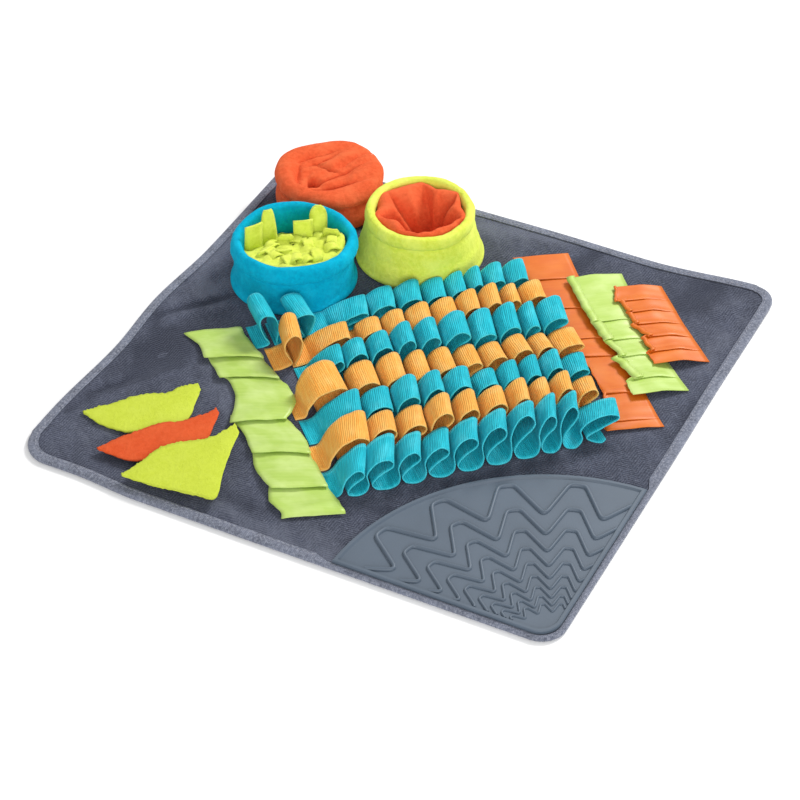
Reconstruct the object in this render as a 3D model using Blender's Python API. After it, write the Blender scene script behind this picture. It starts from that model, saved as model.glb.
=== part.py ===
"""Snuffle mat: a square cloth mat with rows of ribbon loops, pleats, flaps, fleece cups and a silicone
lick mat, in metres, +Z up. The square stands on its corner: +X points at its right corner, along the
ribbon rows, and -Y at its front corner, which holds the lick mat. The tables are in millimetres."""

import bpy
import bmesh
from math import atan2, cos, exp, hypot, pi, radians, sin
from mathutils import Vector

MM = 0.001

# Square base and its binding
SIDE = 500.0
HALF_DIAGONAL = SIDE / 2**0.5
BASE_THICK = 3.1
CORNER_RADIUS = {"left": 34.0, "front": 22.0, "right": 22.0, "back": 24.0}
CORNER_STEPS = 4
EDGE_STEPS = 9
BINDING_WIDE = 9.0
BINDING_BY_LICK = 3.2
BINDING_THICK = 1.0
BINDING_TOP = 4.4
GAP = 0.3

# Loop ribbons
RIBBON_WIDE = 32.0
RIBBON_THICK = 1.0
ROW_PITCH = 34.8
LAST_ROW_Y = -122.0

# Middles of the three cups
CUPS = {"blue_cup": (-57.0, 161.5), "lime_cup": (64.0, 161.5), "orange_cup": (9.0, 263.0)}

# Satin pieces and fleece
SATIN_THICK = 1.0
FLEECE_THICK = 2.0

# Lick mat: a quarter disc, its corner at the front corner of the square
LICK_INSET = 3.7
LICK_RADIUS = 197.0
LICK_FLOOR = 2.0
LICK_RIM_HIGH = 4.2
LICK_RIM_WIDE = 5.5
# The binding narrows between these distances past the lick mat's tips
TIP_NEAR, TIP_FAR = 5.0, 11.0
RIDGE_HIGH = 1.5
RIDGE_WIDE = 3.4
RIDGE_COUNT = 9
RIDGE_RATIO = 0.838
# The largest zigzag: its turns about the front corner, and how far past its radius it is cut off at the rim
RIDGE_VALLEY, RIDGE_PEAK, RIDGE_END = 150.0, 185.0, 183.0
RIDGE_FIRST_TURN, RIDGE_TURN = 9.0, 9.1875
RIDGE_BLUNT = 0.12

SLOTS = {
    "grey_cloth": ((0.09, 0.10, 0.14), 0.95),
    "grey_tape": ((0.20, 0.21, 0.26), 0.9),
    "silicone": ((0.13, 0.17, 0.22), 0.45),
    "teal_ribbon": ((0.01, 0.45, 0.56), 0.8),
    "orange_ribbon": ((0.93, 0.37, 0.06), 0.8),
    "lime_satin": ((0.52, 0.80, 0.14), 0.5),
    "orange_satin": ((0.88, 0.24, 0.04), 0.5),
    "lime_fleece": ((0.62, 0.76, 0.07), 0.95),
    "orange_fleece": ((0.83, 0.12, 0.03), 0.95),
    "blue_fleece": ((0.0, 0.28, 0.48), 0.95),
}


def interpolate(table, at):
    """Value at a place in a table of (place, value) rows, eased between the rows."""
    for (a, low), (b, high) in zip(table, table[1:]):
        if at <= b:
            share = min(max((at - a) / (b - a), 0.0), 1.0)
            share = share * share * (3 - 2 * share)
            return low + (high - low) * share
    return table[-1][1]


# --- solids -----------------------------------------------------------------------------------------


def make_material(slot):
    colour, roughness = SLOTS[slot]
    material = bpy.data.materials.new(slot)
    material.use_nodes = True
    shader = material.node_tree.nodes["Principled BSDF"]
    shader.inputs["Base Color"].default_value = (*colour, 1)
    shader.inputs["Roughness"].default_value = roughness
    material.diffuse_color = (*colour, 1)
    return material


def add_solid(name, points, faces, slot):
    """An object from points in millimetres, its faces turned outwards."""
    mesh = bpy.data.meshes.new(name)
    mesh.from_pydata([Vector(point) * MM for point in points], [], faces)
    shape = bmesh.new()
    shape.from_mesh(mesh)
    bmesh.ops.recalc_face_normals(shape, faces=shape.faces)
    shape.to_mesh(mesh)
    shape.free()
    mesh.materials.append(bpy.data.materials.get(slot) or make_material(slot))
    made = bpy.data.objects.new(name, mesh)
    made.parent = square
    bpy.context.collection.objects.link(made)
    return made


def add_sheet(name, lower, upper, slot):
    """A cloth between two grids of points, lists of rows of one length, closed along all four sides."""
    rows, columns = len(lower), len(lower[0])
    points = [point for grid in (lower, upper) for row in grid for point in row]

    def at(layer, i, j):
        return (layer * rows + i) * columns + j

    faces = []
    for i in range(rows - 1):
        for j in range(columns - 1):
            corners = ((i, j), (i + 1, j), (i + 1, j + 1), (i, j + 1))
            faces.append([at(0, *corner) for corner in corners])
            faces.append([at(1, *corner) for corner in reversed(corners)])
    around = [(i, 0) for i in range(rows)] + [(rows - 1, j) for j in range(1, columns)]
    around += [(i, columns - 1) for i in range(rows - 2, -1, -1)]
    around += [(0, j) for j in range(columns - 2, 0, -1)]
    for a, b in zip(around, around[1:] + around[:1]):
        faces.append([at(0, *b), at(0, *a), at(1, *a), at(1, *b)])
    return add_solid(name, points, faces, slot)


def add_ring(name, sections, slot):
    """A closed ring from closed sections of one length, joined round."""
    count, size = len(sections), len(sections[0])
    points = [point for section in sections for point in section]
    faces = []
    for i in range(count):
        for j in range(size):
            k, m = (i + 1) % count, (j + 1) % size
            faces.append([i * size + j, k * size + j, k * size + m, i * size + m])
    return add_solid(name, points, faces, slot)


def offset_path(path, distance):
    """A flat path of (a, b) points moved to its left, its corners mitred."""
    moved = []
    for i, (a, b) in enumerate(path):
        before = path[max(i - 1, 0)]
        after = path[min(i + 1, len(path) - 1)]
        turn_in = atan2(b - before[1], a - before[0]) if i else None
        turn_out = atan2(after[1] - b, after[0] - a) if i < len(path) - 1 else None
        turn_in = turn_out if turn_in is None else turn_in
        turn_out = turn_in if turn_out is None else turn_out
        half_turn = (turn_out - turn_in + pi) % (2 * pi) / 2 - pi / 2
        reach = distance / max(cos(half_turn), 0.6)
        middle = turn_in + half_turn
        moved.append((a - sin(middle) * reach, b + cos(middle) * reach))
    return moved


def add_folded_cloth(name, edges, place, thick, slot):
    """A cloth with folds across it. edges is a list of (station, path): the fold path at that station,
    and place(station, a, b) gives the point in space of a path point."""
    lower, upper = [], []
    for side, grid in ((-1, lower), (1, upper)):
        columns = []
        for station, path in edges:
            moved = offset_path(path, side * thick / 2)
            columns.append([place(station, a, b) for a, b in moved])
        grid.extend(list(row) for row in zip(*columns))
    return add_sheet(name, lower, upper, slot)


# --- base and binding -------------------------------------------------------------------------------

# How far each edge of the square is drawn in, by the share of the way along it
DRAWN_IN = {
    "front_left": ((0, 5.0), (0.12, 5.0), (0.25, 0.5), (0.5, 0.0), (1, 0)),
    "front_right": ((0, 0), (0.5, 0), (0.7, 0.8), (1, 0)),
    "back_right": ((0, 0), (0.05, -2.5), (0.11, 0.5), (0.22, 6.0), (0.45, 3.5), (0.7, 4.0), (1, 0)),
    "back_left": ((0, 0), (0.35, 2.5), (0.52, -2.0), (0.68, 3.0), (0.85, 0.0), (1, 2.0)),
}
# Soft creases and bulges in the cloth: middle x, y, heading in degrees, half length, half width, height
CREASES = (
    (-140.0, 152.0, 6.0, 40.0, 7.0, -1.3),
    (-142.0, 138.0, 4.0, 42.0, 9.0, 1.6),
    (-196.0, 96.0, 35.0, 38.0, 22.0, -1.4),
    (-250.0, 63.0, 10.0, 24.0, 5.0, -1.2),
    (-290.0, 43.0, 25.0, 14.0, 5.0, -1.0),
    (292.0, 24.0, 40.0, 20.0, 6.0, -1.3),
    (290.0, -8.0, 15.0, 26.0, 8.0, 1.4),
    (212.0, 105.0, 25.0, 26.0, 8.0, -1.2),
    (-196.0, -128.0, -60.0, 30.0, 8.0, 1.3),
)
# The base's top is flat under the sewn pieces: left, right, front and back of the ribbons' and strips' area
SEWN_AREA = (-178.0, 276.0, -160.0, 130.0)
CUP_FOOT = 58.0
FLAT_FADE = 14.0
# The right corner curls up a little
CURL_FROM = 300.0
CURL_HIGH = 2.4


def corner_points():
    d = HALF_DIAGONAL
    return {"left": (-d, 0.0), "front": (0.0, -d), "right": (d, 0.0), "back": (0.0, d)}


def base_outline():
    """(x, y, outward x, outward y) round the square from the left corner, through the front one."""
    corners = corner_points()
    order = (
        ("left", "front", "front_left"),
        ("front", "right", "front_right"),
        ("right", "back", "back_right"),
        ("back", "left", "back_left"),
    )
    outline = []
    for start, end, edge in order:
        (ax, ay), (bx, by) = corners[start], corners[end]
        along = ((bx - ax) / SIDE, (by - ay) / SIDE)
        out = (along[1], -along[0])
        first, last = CORNER_RADIUS[start], CORNER_RADIUS[end]
        ways = [first + (SIDE - first - last) * step / EDGE_STEPS for step in range(EDGE_STEPS + 1)]
        if "front" in (start, end):
            tips = (LICK_RADIUS + TIP_NEAR, LICK_RADIUS + TIP_FAR)
            ways += [tip if start == "front" else SIDE - tip for tip in tips]
        for way in sorted(ways):
            inward = interpolate(DRAWN_IN[edge], way / SIDE)
            x = ax + along[0] * way - out[0] * inward
            y = ay + along[1] * way - out[1] * inward
            outline.append((x, y, *out))
        centre = (
            bx - along[0] * last - out[0] * last,
            by - along[1] * last - out[1] * last,
        )
        heading = atan2(out[1], out[0])
        inward = interpolate(DRAWN_IN[edge], 1.0)
        for step in range(1, CORNER_STEPS):
            angle = heading + pi / 2 * step / CORNER_STEPS
            radius = last - inward * (1 - step / CORNER_STEPS)
            unit = (cos(angle), sin(angle))
            outline.append((centre[0] + unit[0] * radius, centre[1] + unit[1] * radius, *unit))
    return outline


def curl(x):
    return CURL_HIGH * max(0.0, (x - CURL_FROM) / (HALF_DIAGONAL - CURL_FROM)) ** 1.5


def flat_share(x, y):
    """1 under the pieces sewn to the base, where its top is flat, falling to 0 away from them."""
    away = FLAT_FADE
    for middle_x, middle_y in CUPS.values():
        away = min(away, hypot(x - middle_x, y - middle_y) - CUP_FOOT)
    left, right, front, back = SEWN_AREA
    away = min(away, hypot(max(left - x, x - right, 0.0), max(front - y, y - back, 0.0)))
    away = min(away, hypot(x, y + HALF_DIAGONAL) - LICK_RADIUS)
    return 1.0 - max(away, 0.0) / FLAT_FADE


def relief(x, y):
    """Height of the creases and bulges at a point of the base's top."""
    height = 0.0
    for middle_x, middle_y, heading, long, wide, high in CREASES:
        a = radians(heading)
        dx, dy = x - middle_x, y - middle_y
        u = (dx * cos(a) + dy * sin(a)) / long
        v = (dy * cos(a) - dx * sin(a)) / wide
        height += high * exp(-u * u - v * v)
    return height * (1.0 - flat_share(x, y))


def inset_point(spot, inward, z):
    x, y, out_x, out_y = spot
    x, y = x - out_x * inward, y - out_y * inward
    return (x, y, z + curl(x))


def by_lick_mat(spot):
    """Whether a place on the edge of the base is beside the lick mat."""
    return hypot(spot[0], spot[1] + HALF_DIAGONAL) < LICK_RADIUS + (TIP_NEAR + TIP_FAR) / 2


def add_base(outline):
    """The cloth: thin under the binding, with creases in its top, and flat underneath."""
    under_edge, under_step, under_in = 2.4, BINDING_WIDE + 1.2, BINDING_WIDE + 2.2
    raised = BINDING_THICK + GAP + 0.1
    rings = [
        [inset_point(spot, under_in, 0.0) for spot in outline],
        [inset_point(spot, under_step, raised) for spot in outline],
        [inset_point(spot, under_edge, raised) for spot in outline],
        [inset_point(spot, under_edge, BASE_THICK - 0.2) for spot in outline],
        [inset_point(spot, BINDING_WIDE + 3.0, BASE_THICK) for spot in outline],
    ]
    for share in (0.86, 0.72, 0.56, 0.36):
        ring = []
        for spot in outline:
            x, y, z = inset_point(spot, BINDING_WIDE, 0.0)
            x, y = x * share, y * share
            ring.append((x, y, BASE_THICK + relief(x, y) + curl(x)))
        rings.append(ring)
    count = len(outline)
    points = [point for ring in rings for point in ring]
    faces = [list(range(count))]
    for low in range(len(rings) - 1):
        for i in range(count):
            k = (i + 1) % count
            faces.append([low * count + i, low * count + k, (low + 1) * count + k, (low + 1) * count + i])
    faces.append([(len(rings) - 1) * count + i for i in range(count)])
    add_solid("base_mat", points, faces, "grey_cloth")


def add_binding(outline):
    sections = []
    for spot in outline:
        wide = BINDING_BY_LICK if by_lick_mat(spot) else BINDING_WIDE
        under_flange = BASE_THICK + GAP
        profile = (
            (BINDING_WIDE, 0.0),
            (0.8, 0.0),
            (0.0, 2.4),
            (1.0, BINDING_TOP),
            (wide, BINDING_TOP - 0.1),
            (wide, under_flange),
            (1.7, under_flange),
            (1.7, BINDING_THICK),
            (BINDING_WIDE, BINDING_THICK),
        )
        sections.append([inset_point(spot, inward, z) for inward, z in profile])
    add_ring("edge_binding", sections, "grey_tape")


# --- lick mat ---------------------------------------------------------------------------------------


def from_front_corner(radius, degrees):
    """A point by its distance from the front corner, and its angle from the front-right edge."""
    angle = radians(45.0 + degrees)
    return radius * cos(angle), radius * sin(angle) - HALF_DIAGONAL


def lick_outline(inset):
    """The quarter disc, moved in from its edge by inset: its arc, then its corner, anticlockwise."""
    arc_steps, round_steps = 18, 3
    radius = LICK_RADIUS - inset
    side_inset = LICK_INSET + inset
    corner_radius = CORNER_RADIUS["front"] - side_inset + 0.5
    edge_angle = 180.0 / pi * side_inset / radius
    outline = [
        from_front_corner(radius, edge_angle + (90.0 - 2 * edge_angle) * step / arc_steps)
        for step in range(arc_steps + 1)
    ]
    centre_y = 2**0.5 * (side_inset + corner_radius) - HALF_DIAGONAL
    for step in range(round_steps + 1):
        angle = radians(225.0 + 90.0 * step / round_steps)
        outline.append((corner_radius * cos(angle), centre_y + corner_radius * sin(angle)))
    return outline


def trimmed(corners, side):
    """The corners with the line's first end cut off short of the rim along one side of the lick mat."""
    limit = LICK_INSET + LICK_RIM_WIDE + RIDGE_WIDE / 2 + 0.4

    def away(point):
        return (point[1] + HALF_DIAGONAL - side * point[0]) / 2**0.5

    while away(corners[1]) < limit + 1.5:
        corners = corners[1:]
    share = (limit - away(corners[0])) / (away(corners[1]) - away(corners[0]))
    return [corners[0].lerp(corners[1], share), *corners[1:]]


def ridge_path(valley):
    """A zigzag about the front corner: five valleys and four peaks, each turn blunted to two points."""
    size = valley / RIDGE_VALLEY
    turns = [
        (RIDGE_PEAK * size if turn % 2 else valley, RIDGE_FIRST_TURN + RIDGE_TURN * turn - 45.0)
        for turn in range(9)
    ]
    turns = [(RIDGE_END * size, -44.0), *turns, (RIDGE_END * size, 44.0)]
    corners = [Vector(from_front_corner(radius, 45.0 + degrees)) for radius, degrees in turns]
    corners = trimmed(corners, 1)
    corners = trimmed(corners[::-1], -1)[::-1]
    path = [corners[0]]
    for before, corner, after in zip(corners, corners[1:], corners[2:]):
        path += [corner.lerp(before, RIDGE_BLUNT), corner.lerp(after, RIDGE_BLUNT)]
    return [tuple(point) for point in path + [corners[-1]]]


def add_lick_mat():
    bottom = BASE_THICK + GAP
    top = bottom + LICK_FLOOR
    rim_top = bottom + LICK_RIM_HIGH
    rims = (
        (0.0, bottom),
        (0.0, rim_top - 0.8),
        (1.0, rim_top),
        (LICK_RIM_WIDE - 1.5, rim_top),
        (LICK_RIM_WIDE, top),
    )
    rings = [[(*spot, z) for spot in lick_outline(inset)] for inset, z in rims]
    count = len(rings[0])
    points = [point for ring in rings for point in ring]
    faces = [list(range(count)), [(len(rings) - 1) * count + i for i in range(count)]]
    for low in range(len(rings) - 1):
        for i in range(count):
            k = (i + 1) % count
            faces.append([low * count + i, low * count + k, (low + 1) * count + k, (low + 1) * count + i])
    plate = add_solid("lick_mat", points, faces, "silicone")

    sunk = 0.6
    ridge_points, ridge_faces = [], []
    for number in range(RIDGE_COUNT):
        path = ridge_path(RIDGE_VALLEY * RIDGE_RATIO**number)
        narrow = RIDGE_WIDE * (0.4 + 0.6 * RIDGE_RATIO**number)
        rails = (
            (offset_path(path, -narrow / 2), top - sunk),
            (offset_path(path, -narrow / 4), top + RIDGE_HIGH),
            (offset_path(path, narrow / 4), top + RIDGE_HIGH),
            (offset_path(path, narrow / 2), top - sunk),
        )
        start = len(ridge_points)
        for i in range(len(path)):
            ridge_points += [(*rail[i], z) for rail, z in rails]
        for i in range(len(path) - 1):
            for j in range(4):
                k = (j + 1) % 4
                a, b = start + 4 * i, start + 4 * i + 4
                ridge_faces.append([a + j, b + j, b + k, a + k])
        end = start + 4 * (len(path) - 1)
        ridge_faces += [[start, start + 1, start + 2, start + 3], [end + 3, end + 2, end + 1, end]]
    ridges = add_solid("ridge_cutter", ridge_points, ridge_faces, "silicone")
    ridges.hide_render = True
    ridges.display_type = "WIRE"
    union = plate.modifiers.new("ridges", "BOOLEAN")
    union.operation = "UNION"
    union.object = ridges


# --- loop rows --------------------------------------------------------------------------------------

# One loop, from where the ribbon leaves the base: across (0 at the foot, 1 at the far side) and up
LOOP_SHAPE = (
    (0.01, 0.18),
    (-0.05, 0.48),
    (0.12, 0.80),
    (0.50, 1.00),
    (0.86, 0.93),
    (1.00, 0.70),
    (0.56, 0.48),
    (0.19, 0.20),
)
# Rows from the back to the front: how far the back edge of a loop's top stands to the right of its front
# edge, the last loop's reach, then for each loop its foot (x) and its height at the front and back edges
ROWS = {
    "teal_row_1": (
        8.0,
        22.0,
        (
            (-106, 34, 37), (-84, 25, 28), (-50, 15, 11), (-10, 18, 16), (16, 19, 17),
            (41, 17, 14), (64, 18, 16), (83, 21, 18), (99, 21, 18), (120, 19, 17),
        ),
    ),
    "orange_row_2": (
        7.0,
        24.0,
        (
            (-101, 33, 35), (-78, 21, 13), (-31, 20, 12), (-7, 21, 15), (15, 22, 17),
            (39, 22, 17), (63, 24, 21), (84, 25, 23), (104, 23, 18), (122, 23, 17),
        ),
    ),
    "teal_row_3": (
        6.0,
        26.0,
        (
            (-84, 24, 18), (-55, 28, 21), (-32, 29, 23), (-9, 31, 28), (12, 29, 27),
            (35, 28, 28), (62, 20, 25), (86, 22, 26), (109, 19, 22), (127, 22, 23),
        ),
    ),
    "orange_row_4": (
        3.0,
        28.0,
        (
            (-103, 26, 30), (-60, 23, 23), (-32, 21, 25), (-7, 18, 22), (15, 21, 20),
            (38, 21, 17), (61, 22, 14), (84, 24, 17), (107, 22, 13), (127, 19, 13),
        ),
    ),
    "teal_row_5": (
        8.0,
        24.0,
        (
            (-100, 26, 23), (-60, 24, 20), (-32, 28, 27), (-8, 31, 26), (14, 28, 24),
            (39, 24, 15), (63, 24, 19), (83, 24, 20), (102, 27, 21), (122, 19, 12),
        ),
    ),
    "orange_row_6": (
        8.0,
        22.0,
        (
            (-103, 28, 27), (-67, 30, 23), (-40, 27, 22), (-14, 33, 29), (10, 31, 27),
            (33, 31, 24), (58, 31, 27), (79, 30, 23), (98, 32, 25), (118, 25, 13),
        ),
    ),
    "teal_row_7": (
        13.0,
        38.0,
        (
            (-104, 22, 23), (-81, 28, 28), (-54, 29, 24), (-31, 28, 22), (-6, 32, 26),
            (19, 37, 29), (44, 43, 31), (69, 37, 34), (88, 42, 31), (107, 25, 15),
        ),
    ),
}
LOOP_SPACING = 4.5
WIDEST_LOOP = 34.0
TAIL = 11.0
RIGHT_TAIL = 9.0


def loop_path(loops, lean, edge, last_reach):
    """The ribbon's middle along a row: its left tail, its loops and its right tail. The edge picks the
    loops' heights: 1 is the front edge and 2 the back one."""
    low = BASE_THICK + GAP + RIBBON_THICK / 2
    path = [(loops[0][0] - TAIL, low), (loops[0][0] - 3.5, low)]
    for number, loop in enumerate(loops):
        foot, height = loop[0], loop[edge]
        last = number == len(loops) - 1
        pitch = last_reach if last else loops[number + 1][0] - foot
        wide = pitch if last else min(pitch - LOOP_SPACING, WIDEST_LOOP)
        for across, up in LOOP_SHAPE:
            path.append((foot + across * wide + lean * up, low + up * height))
        end = foot + (RIGHT_TAIL if last else pitch - 3.5)
        landing = min(foot + 0.17 * wide + 4.0, end - 3.0)
        path += [(landing, low), (end, low)]
    return path


def add_rows():
    for number, (name, (lean, last_reach, loops)) in enumerate(ROWS.items()):
        middle = LAST_ROW_Y + ROW_PITCH * (len(ROWS) - 1 - number)
        edges = (
            (middle - RIBBON_WIDE / 2, loop_path(loops, 0.0, 1, last_reach)),
            (middle + RIBBON_WIDE / 2, loop_path(loops, lean, 2, last_reach)),
        )
        slot = "teal_ribbon" if name.startswith("teal") else "orange_ribbon"
        add_folded_cloth(name, edges, lambda y, x, z: (x, y, z), RIBBON_THICK, slot)


# --- pleats, strips and flaps -----------------------------------------------------------------------

# Lime pleats, back to front: y of each lip, and how far it stands over the next pleat
PLEAT_LIPS = ((82.0, 8.0), (46.0, 9.0), (10.0, 7.0), (-30.0, 9.0), (-78.0, 9.0), (-118.0, 8.0))
PLEAT_BACK, PLEAT_FRONT = 114.0, -152.0
PLEAT_UNDER = 12.0
PLEAT_EDGES = ((-170.0, -158.0), (-122.0, -108.0))


def pleat_path():
    """The pleated ribbon's middle from back to front, y and z: at each lip it turns back under itself."""
    low = BASE_THICK + GAP + SATIN_THICK / 2 + 1.6
    path = [(PLEAT_BACK, low)]
    for lip, over in PLEAT_LIPS:
        path += [
            (lip + 24.0, low + 1.0),
            (lip + 8.0, low + 6.0),
            (lip + 0.6, low + 5.4),
            (lip + 0.6, low + 3.4),
            (lip + PLEAT_UNDER, low + 2.4),
            (lip + PLEAT_UNDER, low),
            (lip - over, low),
        ]
    return path + [(PLEAT_FRONT, low)]


def add_pleats():
    path = pleat_path()
    path = [(-y, z) for y, z in path]

    def place(share, y, z):
        y = -y
        way = (PLEAT_BACK - y) / (PLEAT_BACK - PLEAT_FRONT)
        left = PLEAT_EDGES[0][0] + (PLEAT_EDGES[0][1] - PLEAT_EDGES[0][0]) * way
        right = PLEAT_EDGES[1][0] + (PLEAT_EDGES[1][1] - PLEAT_EDGES[1][0]) * way
        return (left + (right - left) * share, y, z)

    add_folded_cloth("lime_pleats", ((0.0, path), (1.0, path)), place, SATIN_THICK, "lime_satin")


# Tucked strips: x of the sewn right edge at the back and at the front, width, y at back and front,
# rise of the free left edge, and the y of each tuck
STRIPS = {
    "strip_orange_long": (195.0, 183.0, 51.0, 126.0, -139.0, 0.4, (100.0, 42.0, 15.0, -48.0, -76.0, -108.0)),
    "strip_lime": (231.0, 221.0, 51.0, 80.0, -98.0, 5.6, (52.0, 20.0, -12.0, -40.0)),
    "strip_orange_short": (260.0, 255.0, 50.0, 54.0, -65.0, 6.4, (34.0, 12.0, -10.0, -28.0)),
}
SIDES = (0.0, 0.5, 1.0)


def tuck_path(back, front, tucks):
    """A strip's middle from back to front, -y and z: each tuck is a low fold lying towards the front."""
    path = [(-back, 0.0)]
    for tuck in tucks:
        path += [
            (-tuck - 5.0, 0.0),
            (-tuck + 1.5, 2.8),
            (-tuck + 3.6, 1.9),
            (-tuck + 1.4, 0.2),
        ]
    return path + [(-front, 0.0)]


def add_strips():
    low = BASE_THICK + GAP + SATIN_THICK / 2
    for name, (back_x, front_x, wide, back, front, rise, tucks) in STRIPS.items():
        path = tuck_path(back, front, tucks)

        def place(share, y, z):
            way = (back + y) / (back - front)
            right = back_x + (front_x - back_x) * way
            lifted = rise * min(1.0, (1.0 - share) * 1.6)
            height = z * (0.35 + 0.65 * (1.0 - share))
            return (right - wide * (1.0 - share), -y, low + lifted + height)

        slot = "lime_satin" if "lime" in name else "orange_satin"
        add_folded_cloth(name, [(side, path) for side in SIDES], place, SATIN_THICK, slot)


# Flaps: sections from tip to sewn side, each x, y of the far edge, y of the near edge, and rise
FLAPS = {
    "flap_lime_back": (
        (-280.0, 36.0, 31.0, 1.2),
        (-268.0, 39.0, 10.0, 1.5),
        (-250.0, 40.0, -6.0, 2.0),
        (-225.0, 40.0, -13.0, 2.4),
        (-202.0, 42.0, -8.0, 1.6),
        (-182.0, 43.0, 12.0, 0.3),
    ),
    "flap_orange": (
        (-280.0, -15.0, -20.0, 4.4),
        (-268.0, -13.0, -34.0, 5.0),
        (-250.0, -10.0, -46.0, 5.2),
        (-225.0, -6.0, -50.0, 5.4),
        (-200.0, -2.0, -48.0, 5.2),
        (-178.0, 4.0, -28.0, 4.4),
    ),
    "flap_lime_front": (
        (-269.0, -55.0, -60.0, 8.2),
        (-255.0, -47.0, -74.0, 8.6),
        (-238.0, -38.0, -90.0, 9.0),
        (-218.0, -32.0, -103.0, 9.0),
        (-197.0, -29.0, -101.0, 8.8),
        (-172.5, -27.0, -42.0, 8.2),
    ),
}
FLAP_ACROSS = 4


def add_flaps():
    for name, sections in FLAPS.items():
        lower, upper = [], []
        for x, far, near, rise in sections:
            rows = ([], [])
            for step in range(FLAP_ACROSS + 1):
                share = step / FLAP_ACROSS
                y = far + (near - far) * share
                z = BASE_THICK + GAP + 1.7 + rise + 1.2 * sin(pi * share)
                rows[0].append((x, y, z))
                rows[1].append((x, y, z + FLEECE_THICK))
            lower.append(rows[0])
            upper.append(rows[1])
        slot = "lime_fleece" if "lime" in name else "orange_fleece"
        add_sheet(name, lower, upper, slot)


# --- cups -------------------------------------------------------------------------------------------

CUP_STEPS = 20
# Sections of the cup walls: distance from the middle and height over the base, up outside, down inside
BLUE_WALL = (
    (52.0, 0.0), (56.0, 0.0), (56.0, 3.0), (53.5, 8.0), (56.0, 28.0), (59.0, 37.0), (57.0, 41.5),
    (53.0, 40.0), (49.5, 10.0),
)
LIME_WALL = (
    (52.0, 0.0), (57.0, 0.0), (57.0, 2.5), (51.5, 12.0), (47.5, 30.0), (49.5, 42.0), (48.0, 50.0),
    (44.0, 50.0), (43.0, 28.0), (47.5, 10.0),
)
ORANGE_WALL = (
    (41.0, 0.0), (45.0, 0.0), (44.5, 8.0), (49.0, 24.0), (50.0, 32.0), (45.5, 37.5), (34.0, 38.0),
    (14.0, 30.0), (7.0, 24.0), (12.0, 22.0), (35.0, 32.0), (43.0, 30.0), (41.5, 12.0),
)
MOUTH_SHIFT = (-15.0, -9.0)


def add_cup(name, wall, slot, shift=(0.0, 0.0), shift_within=1.0):
    middle_x, middle_y = CUPS[name]
    floor_z = BASE_THICK + GAP
    sections = []
    for step in range(CUP_STEPS):
        angle = 2 * pi * step / CUP_STEPS
        section = []
        for radius, high in wall:
            share = max(0.0, 1.0 - radius / shift_within)
            x = middle_x + radius * cos(angle) + shift[0] * share
            y = middle_y + radius * sin(angle) + shift[1] * share
            section.append((x, y, floor_z + high))
        sections.append(section)
    add_ring(name, sections, slot)


# Pouch in the lime cup: a funnel of cloth with folds, section as the cup walls have
POUCH_WALL = (
    (37.0, 30.0), (39.0, 41.0), (36.0, 44.0), (30.0, 34.0), (20.0, 20.0), (11.0, 8.0), (9.0, 3.0),
    (12.0, 1.0), (22.0, 14.0),
)
POUCH_FOLDS = 5
POUCH_FOLD_DEEP = 0.09


def add_pouch():
    middle_x, middle_y = CUPS["lime_cup"]
    floor_z = BASE_THICK + GAP
    sections = []
    for step in range(CUP_STEPS):
        angle = 2 * pi * step / CUP_STEPS
        swell = 1.0 + POUCH_FOLD_DEEP * (sin(POUCH_FOLDS * angle) - 0.4)
        section = []
        for radius, high in POUCH_WALL:
            x = middle_x + radius * swell * cos(angle)
            y = middle_y + radius * swell * sin(angle)
            section.append((x, y, floor_z + high))
        sections.append(section)
    add_ring("orange_pouch", sections, "orange_fleece")


# Fringe in the blue cup: tongues round it, each the angle of its middle, height and lean inwards
FRINGE = (
    (20.0, 30.0, 8.0), (60.0, 42.0, 2.0), (97.0, 34.0, 12.0), (133.0, 46.0, 3.0), (172.0, 33.0, 6.0),
    (212.0, 27.0, 12.0), (250.0, 22.0, 15.0), (290.0, 22.0, 15.0), (330.0, 25.0, 12.0),
)
FRINGE_RADIUS = 43.0
FRINGE_THICK = 2.0
FRINGE_HEEL = 7.0
FRINGE_HALF_WIDE = 10.5
FRINGE_STEPS = 3


def add_fringe():
    """One comb: a low band round the cup's inside with tongues standing on it."""
    middle_x, middle_y = CUPS["blue_cup"]
    floor_z = BASE_THICK + GAP
    columns = []
    for middle, high, lean in FRINGE:
        for turn, tall in (
            (-FRINGE_HALF_WIDE - 0.6, FRINGE_HEEL),
            (-FRINGE_HALF_WIDE, high),
            (FRINGE_HALF_WIDE, high),
            (FRINGE_HALF_WIDE + 0.6, FRINGE_HEEL),
        ):
            columns.append((radians(middle + turn), tall, lean * (tall > FRINGE_HEEL)))
    sections = []
    for angle, tall, lean in columns:
        outer, inner = [], []
        for step in range(FRINGE_STEPS + 1):
            share = step / FRINGE_STEPS
            z = floor_z + tall * share
            radius = FRINGE_RADIUS - lean * share * share
            outer.append((radius + FRINGE_THICK / 2, z))
            inner.append((radius - FRINGE_THICK / 2, z))
        loop = outer + inner[::-1]
        sections.append([(middle_x + r * cos(angle), middle_y + r * sin(angle), z) for r, z in loop])
    add_ring("lime_fringe", sections, "lime_fleece")


# --- the whole mat ----------------------------------------------------------------------------------

for thing in list(bpy.data.objects):
    bpy.data.objects.remove(thing)
square = bpy.data.objects.new("square", None)
bpy.context.collection.objects.link(square)

outline = base_outline()
# The origin is under the middle of the mat's box, and its corners are not rounded alike
middle_x = (max(spot[0] for spot in outline) + min(spot[0] for spot in outline)) / 2
middle_y = (max(spot[1] for spot in outline) + min(spot[1] for spot in outline)) / 2
square.location = (-middle_x * MM, -middle_y * MM, 0.0)

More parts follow.
